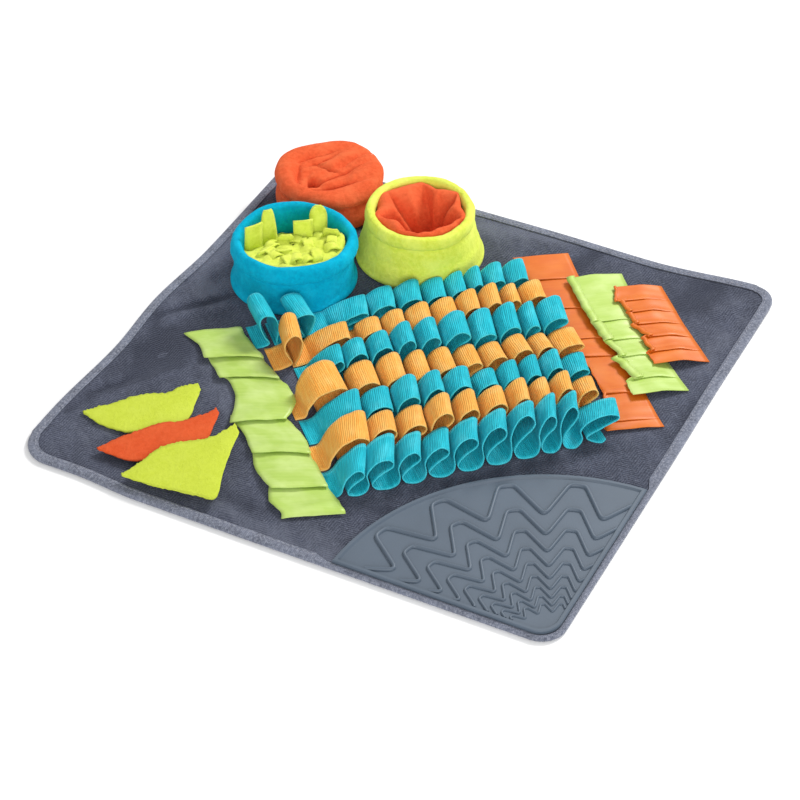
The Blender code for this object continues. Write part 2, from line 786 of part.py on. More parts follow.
add_base(outline)
add_binding(outline)
add_lick_mat()
add_rows()
add_pleats()
add_strips()
add_flaps()
add_cup("blue_cup", BLUE_WALL, "blue_fleece")
add_cup("lime_cup", LIME_WALL, "lime_fleece")
add_cup("orange_cup", ORANGE_WALL, "orange_fleece", MOUTH_SHIFT, 45.0)
add_pouch()
add_fringe()
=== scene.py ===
"""Snuffle mat: the grey cloth square with its ribbon loops, satin pleats and strips, fleece flaps and cups
and silicone lick mat, as sewn. Tables are in millimetres, from the middle of the cloth square."""

from math import atan2, cos, degrees, exp, hypot, pi, radians, sin

import bpy
from mathutils import Matrix, Vector, noise


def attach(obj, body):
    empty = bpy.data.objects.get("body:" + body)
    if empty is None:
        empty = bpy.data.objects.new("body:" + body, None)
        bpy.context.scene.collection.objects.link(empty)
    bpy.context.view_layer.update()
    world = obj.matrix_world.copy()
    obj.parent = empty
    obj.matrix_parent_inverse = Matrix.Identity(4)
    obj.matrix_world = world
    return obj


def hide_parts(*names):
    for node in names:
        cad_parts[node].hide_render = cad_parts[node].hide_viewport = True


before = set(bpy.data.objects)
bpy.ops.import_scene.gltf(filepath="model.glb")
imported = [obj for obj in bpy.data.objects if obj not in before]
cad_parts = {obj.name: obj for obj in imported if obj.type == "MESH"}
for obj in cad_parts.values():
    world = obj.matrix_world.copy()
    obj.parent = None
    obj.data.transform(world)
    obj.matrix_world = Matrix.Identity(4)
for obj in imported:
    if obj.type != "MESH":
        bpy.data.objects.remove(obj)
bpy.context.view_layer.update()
bpy.ops.object.select_all(action="DESELECT")

MM = 0.001
# The cloth square's middle stands this far to the left of the middle of the mat's box
SQUARE_X = -3.0


def place(x, y, z):
    return Vector(((x + SQUARE_X) * MM, y * MM, z * MM))


# --- camera, floor and light ------------------------------------------------------------------------

VIEW_TURN = radians(-18.27)
VIEW_RISE = radians(39.67)
VIEW_FAR = 2.120
VIEW_LENS = 109.4
AIM_RIGHT, AIM_UP = -0.0080, -0.0229


def add_camera():
    back = Vector((sin(VIEW_TURN) * cos(VIEW_RISE), -cos(VIEW_TURN) * cos(VIEW_RISE), sin(VIEW_RISE)))
    right = Vector((cos(VIEW_TURN), sin(VIEW_TURN), 0))
    up = back.cross(right)
    data = bpy.data.cameras.new("camera")
    data.lens = VIEW_LENS
    data.sensor_width = 36.0
    camera = bpy.data.objects.new("camera", data)
    bpy.context.collection.objects.link(camera)
    spot = back * VIEW_FAR + right * AIM_RIGHT + up * AIM_UP + Vector((SQUARE_X * MM, 0, 0))
    turn = Matrix((right, up, back)).transposed()
    camera.matrix_world = Matrix.Translation(spot) @ turn.to_4x4()
    bpy.context.scene.camera = camera


def add_area_light(name, spot, size, power, aim=(0, 0, 0)):
    data = bpy.data.lights.new(name, "AREA")
    data.size = size
    data.energy = power
    light = bpy.data.objects.new(name, data)
    bpy.context.collection.objects.link(light)
    light.location = spot
    light.rotation_euler = (Vector(spot) - Vector(aim)).to_track_quat("Z", "Y").to_euler()


def add_studio():
    bpy.ops.mesh.primitive_plane_add(size=30, location=(0, 0, -0.0003))
    floor = bpy.context.object
    floor.name = "floor"
    paint = bpy.data.materials.new("white floor")
    paint.use_nodes = True
    shader = paint.node_tree.nodes["Principled BSDF"]
    shader.inputs["Base Color"].default_value = (0.93, 0.93, 0.93, 1)
    shader.inputs["Roughness"].default_value = 0.9
    shader.inputs["Specular IOR Level"].default_value = 0.1
    floor.data.materials.append(paint)
    add_area_light("key", (1.5, 0.9, 1.6), 0.7, 50)
    add_area_light("fill", (-0.5, -2.3, 1.0), 1.4, 42)
    world = bpy.data.worlds.new("studio")
    world.use_nodes = True
    world.node_tree.nodes["Background"].inputs["Color"].default_value = (1, 1, 1, 1)
    world.node_tree.nodes["Background"].inputs["Strength"].default_value = 0.56
    bpy.context.scene.world = world
    bpy.context.scene.view_settings.view_transform = "Standard"


# --- materials --------------------------------------------------------------------------------------


def add_node(tree, kind, inputs=None, **settings):
    """A shader node with its settings, and its inputs set to values or joined to other nodes' outputs."""
    made = tree.nodes.new(kind)
    for key, value in settings.items():
        setattr(made, key, value)
    for key, value in (inputs or {}).items():
        if isinstance(value, bpy.types.NodeSocket):
            tree.links.new(value, made.inputs[key])
        else:
            made.inputs[key].default_value = value
    return made


def new_paint(name, roughness, sheen=0.0, sheen_tint=(1, 1, 1), sheen_rough=0.5, shine=0.3):
    paint = bpy.data.materials.new(name)
    paint.use_nodes = True
    shader = paint.node_tree.nodes["Principled BSDF"]
    shader.inputs["Roughness"].default_value = roughness
    shader.inputs["Specular IOR Level"].default_value = shine
    shader.inputs["Sheen Weight"].default_value = sheen
    shader.inputs["Sheen Roughness"].default_value = sheen_rough
    shader.inputs["Sheen Tint"].default_value = (*sheen_tint, 1)
    return paint, paint.node_tree, shader


def noise_of(tree, vector, scale, detail=3.0, rough=0.55):
    inputs = {"Vector": vector, "Scale": scale, "Detail": detail, "Roughness": rough}
    return add_node(tree, "ShaderNodeTexNoise", inputs).outputs["Fac"]


def stretched(tree, vector, scale):
    return add_node(tree, "ShaderNodeMapping", {"Vector": vector, "Scale": scale}).outputs["Vector"]


def spread(tree, value, low, high, to_low=0.0, to_high=1.0):
    """A value from low to high, opened out to another range and held there."""
    inputs = {"Value": value, "From Min": low, "From Max": high, "To Min": to_low, "To Max": to_high}
    return add_node(tree, "ShaderNodeMapRange", inputs).outputs["Result"]


def blend_colours(tree, share, first, second, mode="MIX"):
    inputs = {"Factor": share, 6: first, 7: second}
    return add_node(tree, "ShaderNodeMix", inputs, data_type="RGBA", blend_type=mode).outputs[2]


def maths(tree, operation, *values):
    return add_node(tree, "ShaderNodeMath", dict(enumerate(values)), operation=operation).outputs[0]


def ripple(tree, along, length):
    """A sine from 0 to 1 that repeats every given length."""
    turned = maths(tree, "SINE", maths(tree, "MULTIPLY", along, 2 * pi / length))
    return maths(tree, "MULTIPLY_ADD", turned, 0.5, 0.5)


def raise_bump(tree, shader, height, distance, strength=1.0):
    inputs = {"Height": height, "Distance": distance, "Strength": strength}
    bump = add_node(tree, "ShaderNodeBump", inputs)
    tree.links.new(bump.outputs["Normal"], shader.inputs["Normal"])


def rgba(colour, times=1.0):
    return (*(channel * times for channel in colour), 1.0)


def ribbed_ribbon(name, colour, deep, light, rib=1.75):
    """Ribbed ribbon: ribs across its width, a little uneven, over fine threads along it."""
    paint, tree, shader = new_paint(name, 0.75, 0.25, light, 0.45, 0.2)
    at = add_node(tree, "ShaderNodeUVMap", uv_map="cloth").outputs["UV"]
    axes = add_node(tree, "ShaderNodeSeparateXYZ", {"Vector": at})
    wander = noise_of(tree, stretched(tree, at, (60, 500, 1)), 1.0, 2.0)
    along = maths(tree, "ADD", axes.outputs["Y"], maths(tree, "MULTIPLY", wander, 0.0011))
    rib_high = ripple(tree, along, rib * MM)
    thread_wave = maths(tree, "SINE", maths(tree, "MULTIPLY", axes.outputs["X"], 2 * pi / (0.9 * MM)))
    streak = noise_of(tree, stretched(tree, at, (40, 330, 1)), 1.0, 4.0, 0.7)
    patch = noise_of(tree, stretched(tree, at, (30, 60, 1)), 1.0, 3.0)
    tone = blend_colours(tree, spread(tree, streak, 0.36, 0.68), rgba(deep), rgba(colour))
    # Painted shade: the ribbon is darker in the grooves between its ribs.
    tone = blend_colours(tree, spread(tree, rib_high, 0.0, 0.6, 0.42, 0.0), tone, rgba(deep, 0.85))
    tone = blend_colours(tree, spread(tree, patch, 0.5, 0.8, 0.0, 0.5), tone, rgba(light))
    # Painted highlight: the ribbon is paler along both its edges, where its thickness catches the light.
    away = maths(tree, "ABSOLUTE", maths(tree, "SUBTRACT", axes.outputs["X"], 0.016))
    tone = blend_colours(tree, spread(tree, away, 0.0147, 0.0155, 0.0, 0.35), tone, rgba(light))
    tree.links.new(tone, shader.inputs["Base Color"])
    high = maths(tree, "MULTIPLY_ADD", thread_wave, 0.12, rib_high)
    high = maths(tree, "ADD", high, maths(tree, "MULTIPLY", streak, 0.8))
    raise_bump(tree, shader, high, 0.0005, 0.9)
    return paint


def smooth_satin(name, colour, deep, light):
    """Smooth taffeta: a soft gloss, faint weft lines, and thread streaks along the pleats."""
    paint, tree, shader = new_paint(name, 0.42, 0.35, light, 0.3, 0.45)
    at = add_node(tree, "ShaderNodeUVMap", uv_map="cloth").outputs["UV"]
    streak = noise_of(tree, stretched(tree, at, (18, 420, 1)), 1.0, 4.0, 0.6)
    patch = noise_of(tree, at, 38.0, 3.0)
    weave = noise_of(tree, stretched(tree, at, (900, 900, 1)), 1.0, 1.0)
    tone = blend_colours(tree, spread(tree, streak, 0.2, 0.72), rgba(deep), rgba(colour))
    tone = blend_colours(tree, spread(tree, patch, 0.42, 0.7, 0.0, 0.8), tone, rgba(light))
    tree.links.new(tone, shader.inputs["Base Color"])
    high = maths(tree, "MULTIPLY_ADD", weave, 0.35, streak)
    raise_bump(tree, shader, high, 0.00014, 0.6)
    return paint


def brushed_fleece(name, colour, deep, light, sheen=0.6):
    """Fleece: short fuzzy pile, mottled, with pressed patches."""
    paint, tree, shader = new_paint(name, 0.95, sheen, light, 0.6, 0.1)
    at = add_node(tree, "ShaderNodeTexCoord").outputs["Object"]
    pile = noise_of(tree, at, 900.0, 4.0, 0.7)
    tuft = noise_of(tree, at, 260.0, 4.0, 0.65)
    patch = noise_of(tree, at, 45.0, 3.0)
    tone = blend_colours(tree, spread(tree, tuft, 0.35, 0.65), rgba(deep), rgba(colour))
    tone = blend_colours(tree, spread(tree, patch, 0.45, 0.75, 0.0, 0.55), tone, rgba(light))
    tree.links.new(tone, shader.inputs["Base Color"])
    high = maths(tree, "MULTIPLY_ADD", pile, 0.6, tuft)
    raise_bump(tree, shader, high, 0.0012, 0.8)
    return paint


def heather_cloth(name):
    """Slate napped cloth with a herringbone weave, with painted shade and painted highlight from the base's
    attribute: dark and pale patches where its pile lies one way or another and where shade falls, darker in its
    creases and paler on their ridges.
    """
    paint, tree, shader = new_paint(name, 0.9, 0.22, (0.72, 0.78, 1.0), 0.5, 0.15)
    at = add_node(tree, "ShaderNodeTexCoord").outputs["Object"]
    axes = add_node(tree, "ShaderNodeSeparateXYZ", {"Vector": at})
    across = maths(tree, "PINGPONG", maths(tree, "ADD", axes.outputs["X"], 1.0), 0.011)
    slope = maths(tree, "ADD", maths(tree, "MULTIPLY", across, 0.9), axes.outputs["Y"])
    grain = noise_of(tree, at, 420.0, 4.0, 0.75)
    slope = maths(tree, "ADD", slope, maths(tree, "MULTIPLY", grain, 0.0012))
    twill = ripple(tree, slope, 0.0031)
    nap_and_shade = noise_of(tree, stretched(tree, at, (7, 11, 1)), 1.0, 3.0, 0.5)
    cloud = noise_of(tree, at, 24.0, 4.0, 0.6)
    fleck = noise_of(tree, at, 560.0, 4.0, 0.85)
    shade_and_streaks = add_node(tree, "ShaderNodeAttribute", attribute_name="nap_and_shade").outputs["Fac"]
    streaked = noise_of(tree, stretched(tree, at, (60, 26, 1)), 1.0, 4.0, 0.7)
    shade_and_streaks = maths(tree, "ADD", shade_and_streaks, spread(tree, streaked, 0.3, 0.7, -0.55, 0.55))
    dark, middle, pale = (0.017, 0.020, 0.033), (0.044, 0.050, 0.076), (0.175, 0.19, 0.245)
    tone = blend_colours(tree, spread(tree, nap_and_shade, 0.35, 0.62), rgba(dark), rgba(middle))
    tone = blend_colours(tree, spread(tree, cloud, 0.40, 0.72, 0.0, 0.6), tone, rgba(middle, 1.7))
    tone = blend_colours(tree, spread(tree, twill, 0.2, 1.0, 0.0, 0.32), tone, rgba(pale))
    tone = blend_colours(tree, spread(tree, fleck, 0.53, 0.66, 0.0, 0.75), tone, rgba(pale))
    tone = blend_colours(tree, spread(tree, grain, 0.34, 0.5, 0.6, 0.0), tone, rgba(dark, 0.5))
    # Painted shade and painted highlight: darker where the attribute and streaks are below zero, paler where they
    # are above it.
    tone = blend_colours(tree, spread(tree, shade_and_streaks, -1.0, -0.1, 0.72, 0.0), tone, rgba(dark))
    tone = blend_colours(tree, spread(tree, shade_and_streaks, 0.1, 1.0, 0.0, 0.6), tone, rgba(pale, 0.8))
    tree.links.new(tone, shader.inputs["Base Color"])
    high = maths(tree, "MULTIPLY_ADD", twill, 0.5, maths(tree, "ADD", grain, fleck))
    raise_bump(tree, shader, high, 0.0009, 0.9)
    return paint


def woven_tape(name, colour, pale):
    """The binding's tape: fine ribs across it, with pale and dark specks."""
    paint, tree, shader = new_paint(name, 0.85, 0.3, (0.8, 0.82, 0.95), 0.5, 0.2)
    at = add_node(tree, "ShaderNodeUVMap", uv_map="cloth").outputs["UV"]
    axes = add_node(tree, "ShaderNodeSeparateXYZ", {"Vector": at})
    rib = ripple(tree, axes.outputs["Y"], 0.0016)
    speck = noise_of(tree, at, 420.0, 4.0, 0.8)
    cloud = noise_of(tree, at, 60.0, 3.0)
    tone = blend_colours(tree, spread(tree, cloud, 0.35, 0.65), rgba(colour, 0.65), rgba(colour, 1.15))
    tone = blend_colours(tree, spread(tree, speck, 0.45, 0.68, 0.0, 0.8), tone, rgba(pale))
    tone = blend_colours(tree, spread(tree, speck, 0.30, 0.46, 0.6, 0.0), tone, rgba(colour, 0.45))
    # Painted shade: the tape is darker in the grooves between its ribs.
    tone = blend_colours(tree, spread(tree, rib, 0.0, 0.6, 0.35, 0.0), tone, rgba(colour, 0.6))
    tree.links.new(tone, shader.inputs["Base Color"])
    raise_bump(tree, shader, maths(tree, "MULTIPLY_ADD", speck, 0.5, rib), 0.0004, 0.7)
    return paint


def moulded_silicone(name, colour):
    paint, tree, shader = new_paint(name, 0.5, 0.12, (0.8, 0.85, 0.9), 0.4, 0.4)
    at = add_node(tree, "ShaderNodeTexCoord").outputs["Object"]
    cloud = noise_of(tree, at, 22.0, 3.0)
    speck = noise_of(tree, at, 1500.0, 2.0, 0.6)
    tone = blend_colours(tree, spread(tree, cloud, 0.3, 0.7), rgba(colour, 0.93), rgba(colour, 1.06))
    tone = blend_colours(tree, spread(tree, speck, 0.55, 0.75, 0.0, 0.25), tone, rgba(colour, 1.5))
    tree.links.new(tone, shader.inputs["Base Color"])
    raise_bump(tree, shader, speck, 0.00008, 0.6)
    return paint


def spun_thread(name, colour):
    paint, tree, shader = new_paint(name, 0.7, 0.3, colour, 0.5, 0.25)
    at = add_node(tree, "ShaderNodeTexCoord").outputs["Object"]
    ply = noise_of(tree, at, 2200.0, 2.0)
    tone = blend_colours(tree, spread(tree, ply, 0.35, 0.65), rgba(colour, 0.7), rgba(colour))
    tree.links.new(tone, shader.inputs["Base Color"])
    raise_bump(tree, shader, ply, 0.0002, 0.6)
    return paint


TEAL = ribbed_ribbon("teal ribbon", (0.02, 0.60, 0.73), (0.004, 0.38, 0.48), (0.13, 0.78, 0.90))
AMBER = ribbed_ribbon("orange ribbon", (0.95, 0.55, 0.13), (0.92, 0.36, 0.05), (0.98, 0.68, 0.26))
LIME_SATIN = smooth_satin("lime satin", (0.45, 0.61, 0.13), (0.36, 0.53, 0.08), (0.57, 0.71, 0.25))
ORANGE_SATIN = smooth_satin("orange satin", (0.65, 0.145, 0.006), (0.60, 0.11, 0.004), (0.70, 0.18, 0.014))
LIME_FLEECE = brushed_fleece("lime fleece", (0.72, 0.80, 0.11), (0.60, 0.70, 0.065), (0.82, 0.90, 0.20))
ORANGE_FLEECE = brushed_fleece("orange fleece", (0.77, 0.12, 0.04), (0.64, 0.08, 0.024), (0.86, 0.20, 0.075))
BLUE_FLEECE = brushed_fleece("blue fleece", (0.0, 0.40, 0.60), (0.0, 0.30, 0.49), (0.01, 0.50, 0.70))
GREY_CLOTH = heather_cloth("grey cloth")
GREY_TAPE = woven_tape("grey tape", (0.130, 0.146, 0.195), (0.36, 0.375, 0.44))
SILICONE = moulded_silicone("silicone", (0.085, 0.112, 0.148))
FLAP_LIME = brushed_fleece("flap lime", (0.55, 0.64, 0.065), (0.51, 0.60, 0.05), (0.59, 0.68, 0.09), 0.2)
FLAP_ORANGE = brushed_fleece("flap orange", (0.68, 0.10, 0.030), (0.62, 0.08, 0.02), (0.72, 0.13, 0.04), 0.2)
PALE_THREAD = spun_thread("pale thread", (0.33, 0.34, 0.40))


# --- making cloth -----------------------------------------------------------------------------------


def smooth_path(points, steps):
    """A curve through the points, each a tuple of numbers, with this many steps between two of them."""
    made = []
    last = len(points) - 1
    for i in range(last):
        before, start = points[max(i - 1, 0)], points[i]
        end, after = points[i + 1], points[min(i + 2, last)]
        for step in range(steps):
            t = step / steps
            made.append(tuple(
                0.5 * (2 * b + (c - a) * t + (2 * a - 5 * b + 4 * c - d) * t * t + (3 * b - a - 3 * c + d) * t**3)
                for a, b, c, d in zip(before, start, end, after)
            ))
    made.append(tuple(points[-1]))
    return made


def interpolate(table, at):
    for (a, low), (b, high) in zip(table, table[1:]):
        if at <= b:
            share = min(max((at - a) / (b - a), 0.0), 1.0)
            share = share * share * (3 - 2 * share)
            return low + (high - low) * share
    return table[-1][1]


def uneven(x, y, z, size):
    """A smooth random value from -1 to 1, the same each time, with bumps of about this size."""
    return noise.noise(Vector((x / size, y / size, z / size)))


def cloth_piece(name, grid, thick, paint, closed=False, levels=0):
    """A cloth from a grid of points of its middle, rows along it and columns across it. closed joins the
    last row to the first one. The UV map gives distances on the cloth in metres."""
    rows, columns = len(grid), len(grid[0])
    vertices = [point for row in grid for point in row]
    wraps = rows if closed else rows - 1
    faces = []
    for i in range(wraps):
        k = (i + 1) % rows
        for j in range(columns - 1):
            faces.append((i * columns + j, i * columns + j + 1, k * columns + j + 1, k * columns + j))
    mesh = bpy.data.meshes.new(name)
    mesh.from_pydata(vertices, [], faces)
    middle = columns // 2
    lengths = [0.0]
    for i in range(1, rows + 1):
        lengths.append(lengths[-1] + (grid[i % rows][middle] - grid[i - 1][middle]).length)
    widths = [0.0]
    for j in range(1, columns):
        widths.append(widths[-1] + (grid[rows // 2][j] - grid[rows // 2][j - 1]).length)
    spots = mesh.uv_layers.new(name="cloth")
    corner = 0
    for i in range(wraps):
        for j in range(columns - 1):
            for a, b in ((i, j), (i, j + 1), (i + 1, j + 1), (i + 1, j)):
                spots.data[corner].uv = (widths[b], lengths[a])
                corner += 1
    piece = bpy.data.objects.new(name, mesh)
    bpy.context.collection.objects.link(piece)
    mesh.materials.append(paint)
    finish_cloth(piece, thick, levels)
    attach(piece, "root")
    return piece


def finish_cloth(piece, thick, levels):
    bpy.ops.object.select_all(action="DESELECT")
    bpy.context.view_layer.objects.active = piece
    piece.select_set(True)
    wall = piece.modifiers.new("thickness", "SOLIDIFY")
    wall.thickness = thick * MM
    wall.offset = 0.0
    bpy.ops.object.modifier_apply(modifier=wall.name)
    if levels:
        soft = piece.modifiers.new("soft", "SUBSURF")
        soft.levels = soft.render_levels = levels
        bpy.ops.object.modifier_apply(modifier=soft.name)
    bpy.ops.object.shade_smooth()


# --- the grey square and its binding ----------------------------------------------------------------

SIDE = 500.0
HALF_DIAGONAL = SIDE / 2**0.5
BASE_THICK = 3.1
GAP = 0.3
CORNER_RADIUS = {"left": 34.0, "front": 22.0, "right": 22.0, "back": 24.0}
BINDING_WIDE = 9.0
BINDING_BY_LICK = 4.6
STITCHES_IN = 2.3
LICK_RADIUS = 196.0
TIP_NEAR, TIP_FAR = 4.0, 16.0

# How far each edge of the square is drawn in, by the share of the way along it
DRAWN_IN = {
    "front_left": ((0, 5.0), (0.12, 5.0), (0.25, 0.5), (0.5, 0.0), (1, 0)),
    "front_right": ((0, 0), (0.5, 0), (0.7, 0.8), (1, 0)),
    "back_right": ((0, 0), (0.06, -1.5), (0.24, 5.5), (0.45, 3.5), (0.7, 4.0), (1, 0)),
    "back_left": ((0, 0), (0.35, 2.5), (0.52, -2.0), (0.68, 3.0), (0.85, 0.0), (1, 2.0)),
}
# Soft creases and bulges in the cloth: middle x, y, heading in degrees, half length, half width, height
CREASES = (
    (-140.0, 152.0, 6.0, 40.0, 6.0, -1.6),
    (-142.0, 138.0, 4.0, 42.0, 9.0, 1.8),
    (-196.0, 96.0, 35.0, 38.0, 22.0, -1.6),
    (-215.0, 60.0, 20.0, 30.0, 9.0, 1.2),
    (-250.0, 63.0, 10.0, 24.0, 4.0, -1.5),
    (-290.0, 43.0, 25.0, 14.0, 4.0, -1.3),
    (-190.0, 140.0, 60.0, 20.0, 5.0, -1.1),
    (292.0, 24.0, 40.0, 20.0, 5.0, -1.6),
    (290.0, -8.0, 15.0, 26.0, 8.0, 1.6),
    (212.0, 105.0, 25.0, 26.0, 6.0, -1.6),
    (180.0, 150.0, -30.0, 30.0, 9.0, 1.2),
    (120.0, 205.0, -35.0, 26.0, 6.0, -1.2),
    (-196.0, -128.0, -60.0, 30.0, 8.0, 1.6),
    (-150.0, -180.0, -50.0, 26.0, 6.0, -1.2),
    (250.0, -75.0, 50.0, 24.0, 6.0, -1.3),
    (-120.0, 215.0, 45.0, 26.0, 6.0, 1.1),
)
# Painted shade and painted highlight on the cloth: dark and pale patches where its pile lies one way or another
# and where shade falls, as along crease lines and in front of the last row. Laid out as the creases, then a shade
# from -1 (dark) to 1 (pale)
NAP_AND_SHADE = (
    (-190.0, 100.0, 40.0, 50.0, 26.0, -1.0),
    (-120.0, 172.0, 20.0, 60.0, 16.0, 0.6),
    (-145.0, 152.0, 5.0, 45.0, 4.0, -1.0),
    (-230.0, 62.0, 10.0, 40.0, 5.0, -0.8),
    (-255.0, 0.0, 0.0, 50.0, 12.0, 0.3),
    (-262.0, -36.0, -20.0, 40.0, 12.0, -0.7),
    (-160.0, 20.0, 80.0, 45.0, 9.0, 0.5),
    (-150.0, -190.0, -45.0, 60.0, 24.0, 0.7),
    (-190.0, -110.0, -60.0, 34.0, 9.0, -0.8),
    (-70.0, -168.0, -20.0, 40.0, 8.0, -0.6),
    (30.0, -150.0, 0.0, 90.0, 7.0, -0.6),
    (285.0, 20.0, 30.0, 42.0, 25.0, -0.9),
    (215.0, 108.0, 30.0, 38.0, 9.0, -0.9),
    (190.0, 150.0, -30.0, 45.0, 14.0, 0.6),
    (262.0, -60.0, 45.0, 44.0, 12.0, 0.5),
    (215.0, -128.0, 40.0, 34.0, 12.0, -0.6),
    (110.0, 205.0, -35.0, 60.0, 22.0, 0.9),
    (-105.0, 225.0, 45.0, 50.0, 10.0, 0.7),
)
CUPS = {"blue_cup": (-57.0, 161.5), "lime_cup": (64.0, 161.5), "orange_cup": (9.0, 263.0)}
SEWN_AREA = (-178.0, 276.0, -160.0, 130.0)
CUP_FOOT = 58.0
FLAT_FADE = 14.0
CURL_FROM = 300.0
CURL_HIGH = 2.4


def mat_outline(edge_steps, corner_steps):
    """(x, y, outward x, outward y) round the square from the left corner, through the front one."""
    d = HALF_DIAGONAL
    corners = {"left": (-d, 0.0), "front": (0.0, -d), "right": (d, 0.0), "back": (0.0, d)}
    order = (
        ("left", "front", "front_left"),
        ("front", "right", "front_right"),
        ("right", "back", "back_right"),
        ("back", "left", "back_left"),
    )
    following = {edge: order[(number + 1) % 4][2] for number, (_, _, edge) in enumerate(order)}
    outline = []
    for start, end, edge in order:
        (ax, ay), (bx, by) = corners[start], corners[end]
        along = ((bx - ax) / SIDE, (by - ay) / SIDE)
        out = (along[1], -along[0])
        first, last = CORNER_RADIUS[start], CORNER_RADIUS[end]
        for step in range(edge_steps + 1):
            way = first + (SIDE - first - last) * step / edge_steps
            inward = interpolate(DRAWN_IN[edge], way / SIDE)
            x = ax + along[0] * way - out[0] * inward
            y = ay + along[1] * way - out[1] * inward
            outline.append((x, y, *out))
        centre = (bx - along[0] * last - out[0] * last, by - along[1] * last - out[1] * last)
        arriving = DRAWN_IN[edge][-1][1]
        leaving = DRAWN_IN[following[edge]][0][1]
        for step in range(1, corner_steps):
            share = step / corner_steps
            angle = atan2(out[1], out[0]) + pi / 2 * share
            radius = last - arriving - (leaving - arriving) * share
            unit = (cos(angle), sin(angle))
            outline.append((centre[0] + unit[0] * radius, centre[1] + unit[1] * radius, *unit))
    return outline


def curl(x):
    return CURL_HIGH * max(0.0, (x - CURL_FROM) / (HALF_DIAGONAL - CURL_FROM)) ** 1.5


def flat_share(x, y):
    """1 under the pieces sewn to the base, where its top is flat, falling to 0 away from them."""
    away = FLAT_FADE
    for middle_x, middle_y in CUPS.values():
        away = min(away, hypot(x - middle_x, y - middle_y) - CUP_FOOT)
    left, right, front, back = SEWN_AREA
    away = min(away, hypot(max(left - x, x - right, 0.0), max(front - y, y - back, 0.0)))
    away = min(away, hypot(x, y + HALF_DIAGONAL) - LICK_RADIUS)
    return 1.0 - max(away, 0.0) / FLAT_FADE


def added_up(x, y, spots):
    """The sum at a point of soft oval spots, laid out as CREASES is."""
    total = 0.0
    for middle_x, middle_y, heading, long, wide, value in spots:
        a = radians(heading)
        u = ((x - middle_x) * cos(a) + (y - middle_y) * sin(a)) / long
        v = ((y - middle_y) * cos(a) - (x - middle_x) * sin(a)) / wide
        total += value * exp(-u * u - v * v)
    return total


def relief(x, y):
    """Height of the creases and soft waves at a point of the base's top."""
    waves = 0.45 * uneven(x, y, 3.0, 38.0) + 0.2 * uneven(x, y, 9.0, 15.0)
    return 1.8 * (waves + added_up(x, y, CREASES)) * (1.0 - flat_share(x, y))


def inset_point(spot, inward, z):
    x, y, out_x, out_y = spot
    x, y = x - out_x * inward, y - out_y * inward
    return place(x, y, z + curl(x))


def add_base(outline):
    """The napped cloth with its wadding: thin under the binding, and flat underneath."""
    raised = 1.5
    rings = [
        [inset_point(spot, BINDING_WIDE + 2.2, 0.0) for spot in outline],
        [inset_point(spot, BINDING_WIDE + 1.2, raised) for spot in outline],
        [inset_point(spot, 2.6, raised) for spot in outline],
        [inset_point(spot, 2.6, BASE_THICK - 0.3) for spot in outline],
        [inset_point(spot, BINDING_WIDE, BASE_THICK - 0.1) for spot in outline],
    ]
    ring_count = 64
    for step in range(ring_count):
        share = 1.0 - step / ring_count
        ring = []
        for spot in outline:
            x, y = spot[0] - spot[2] * (BINDING_WIDE + 1.5), spot[1] - spot[3] * (BINDING_WIDE + 1.5)
            x, y = x * share, y * share
            ring.append(place(x, y, BASE_THICK + relief(x, y) * min(1.0, step / 3) + curl(x)))
        rings.append(ring)
    count = len(outline)
    faces = [tuple(range(count))]
    for low in range(len(rings) - 1):
        for i in range(count):
            k = (i + 1) % count
            faces.append((low * count + k, low * count + i, (low + 1) * count + i, (low + 1) * count + k))
    faces.append(tuple((len(rings) - 1) * count + i for i in reversed(range(count))))
    mesh = bpy.data.meshes.new("grey_square")
    mesh.from_pydata([point for ring in rings for point in ring], [], faces)
    mesh.materials.append(GREY_CLOTH)
    # Painted shade and painted highlight for the cloth's colour: the patches above, plus the relief, so it is
    # darker in troughs and paler on bumps.
    nap_and_shade = mesh.attributes.new("nap_and_shade", "FLOAT", "POINT")
    for spot, vertex in zip(nap_and_shade.data, mesh.vertices):
        x, y = vertex.co.x / MM - SQUARE_X, vertex.co.y / MM
        spot.value = 1.5 * added_up(x, y, NAP_AND_SHADE) + 0.3 * relief(x, y)
    piece = bpy.data.objects.new("grey_square", mesh)
    bpy.context.collection.objects.link(piece)
    bpy.ops.object.select_all(action="DESELECT")
    bpy.context.view_layer.objects.active = piece
    piece.select_set(True)
    bpy.ops.object.mode_set(mode="EDIT")
    bpy.ops.mesh.select_all(action="SELECT")
    bpy.ops.mesh.normals_make_consistent(inside=False)
    bpy.ops.object.mode_set(mode="OBJECT")
    bpy.ops.object.shade_smooth_by_angle(angle=radians(50))
    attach(piece, "root")
    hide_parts("base_mat")


def binding_wide(spot):
    """The tape is narrow on top beside the lick mat, and its own width elsewhere."""
    away = hypot(spot[0], spot[1] + HALF_DIAGONAL) - LICK_RADIUS
    share = min(max((away - TIP_NEAR) / (TIP_FAR - TIP_NEAR), 0.0), 1.0)
    return BINDING_BY_LICK + (BINDING_WIDE - BINDING_BY_LICK) * share


def add_binding(outline):
    grid = []
    for spot in outline:
        wide = binding_wide(spot)
        profile = (
            (BINDING_WIDE, 0.5), (4.0, 0.5), (1.2, 0.7), (0.5, 1.9), (0.9, 3.3), (1.6, 3.9),
            (wide * 0.5 + 0.6, 4.15), (wide - 0.9, 3.95), (wide, 3.75),
        )
        row = []
        for number, (inward, z) in enumerate(smooth_path(profile, 2)):
            top = max(0.0, min(1.0, (number - 9) / 4))
            pucker = 0.22 * uneven(spot[0], spot[1], inward, 5.0) + 0.2 * uneven(spot[0], spot[1], 40.0, 16.0)
            ragged = 0.25 * top * uneven(spot[1], spot[0], 5.0, 11.0)
            row.append(inset_point(spot, inward + ragged, z + top * pucker))
        grid.append(row)
    piece = cloth_piece("binding_tape", grid, 0.9, GREY_TAPE, closed=True)
    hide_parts("edge_binding")


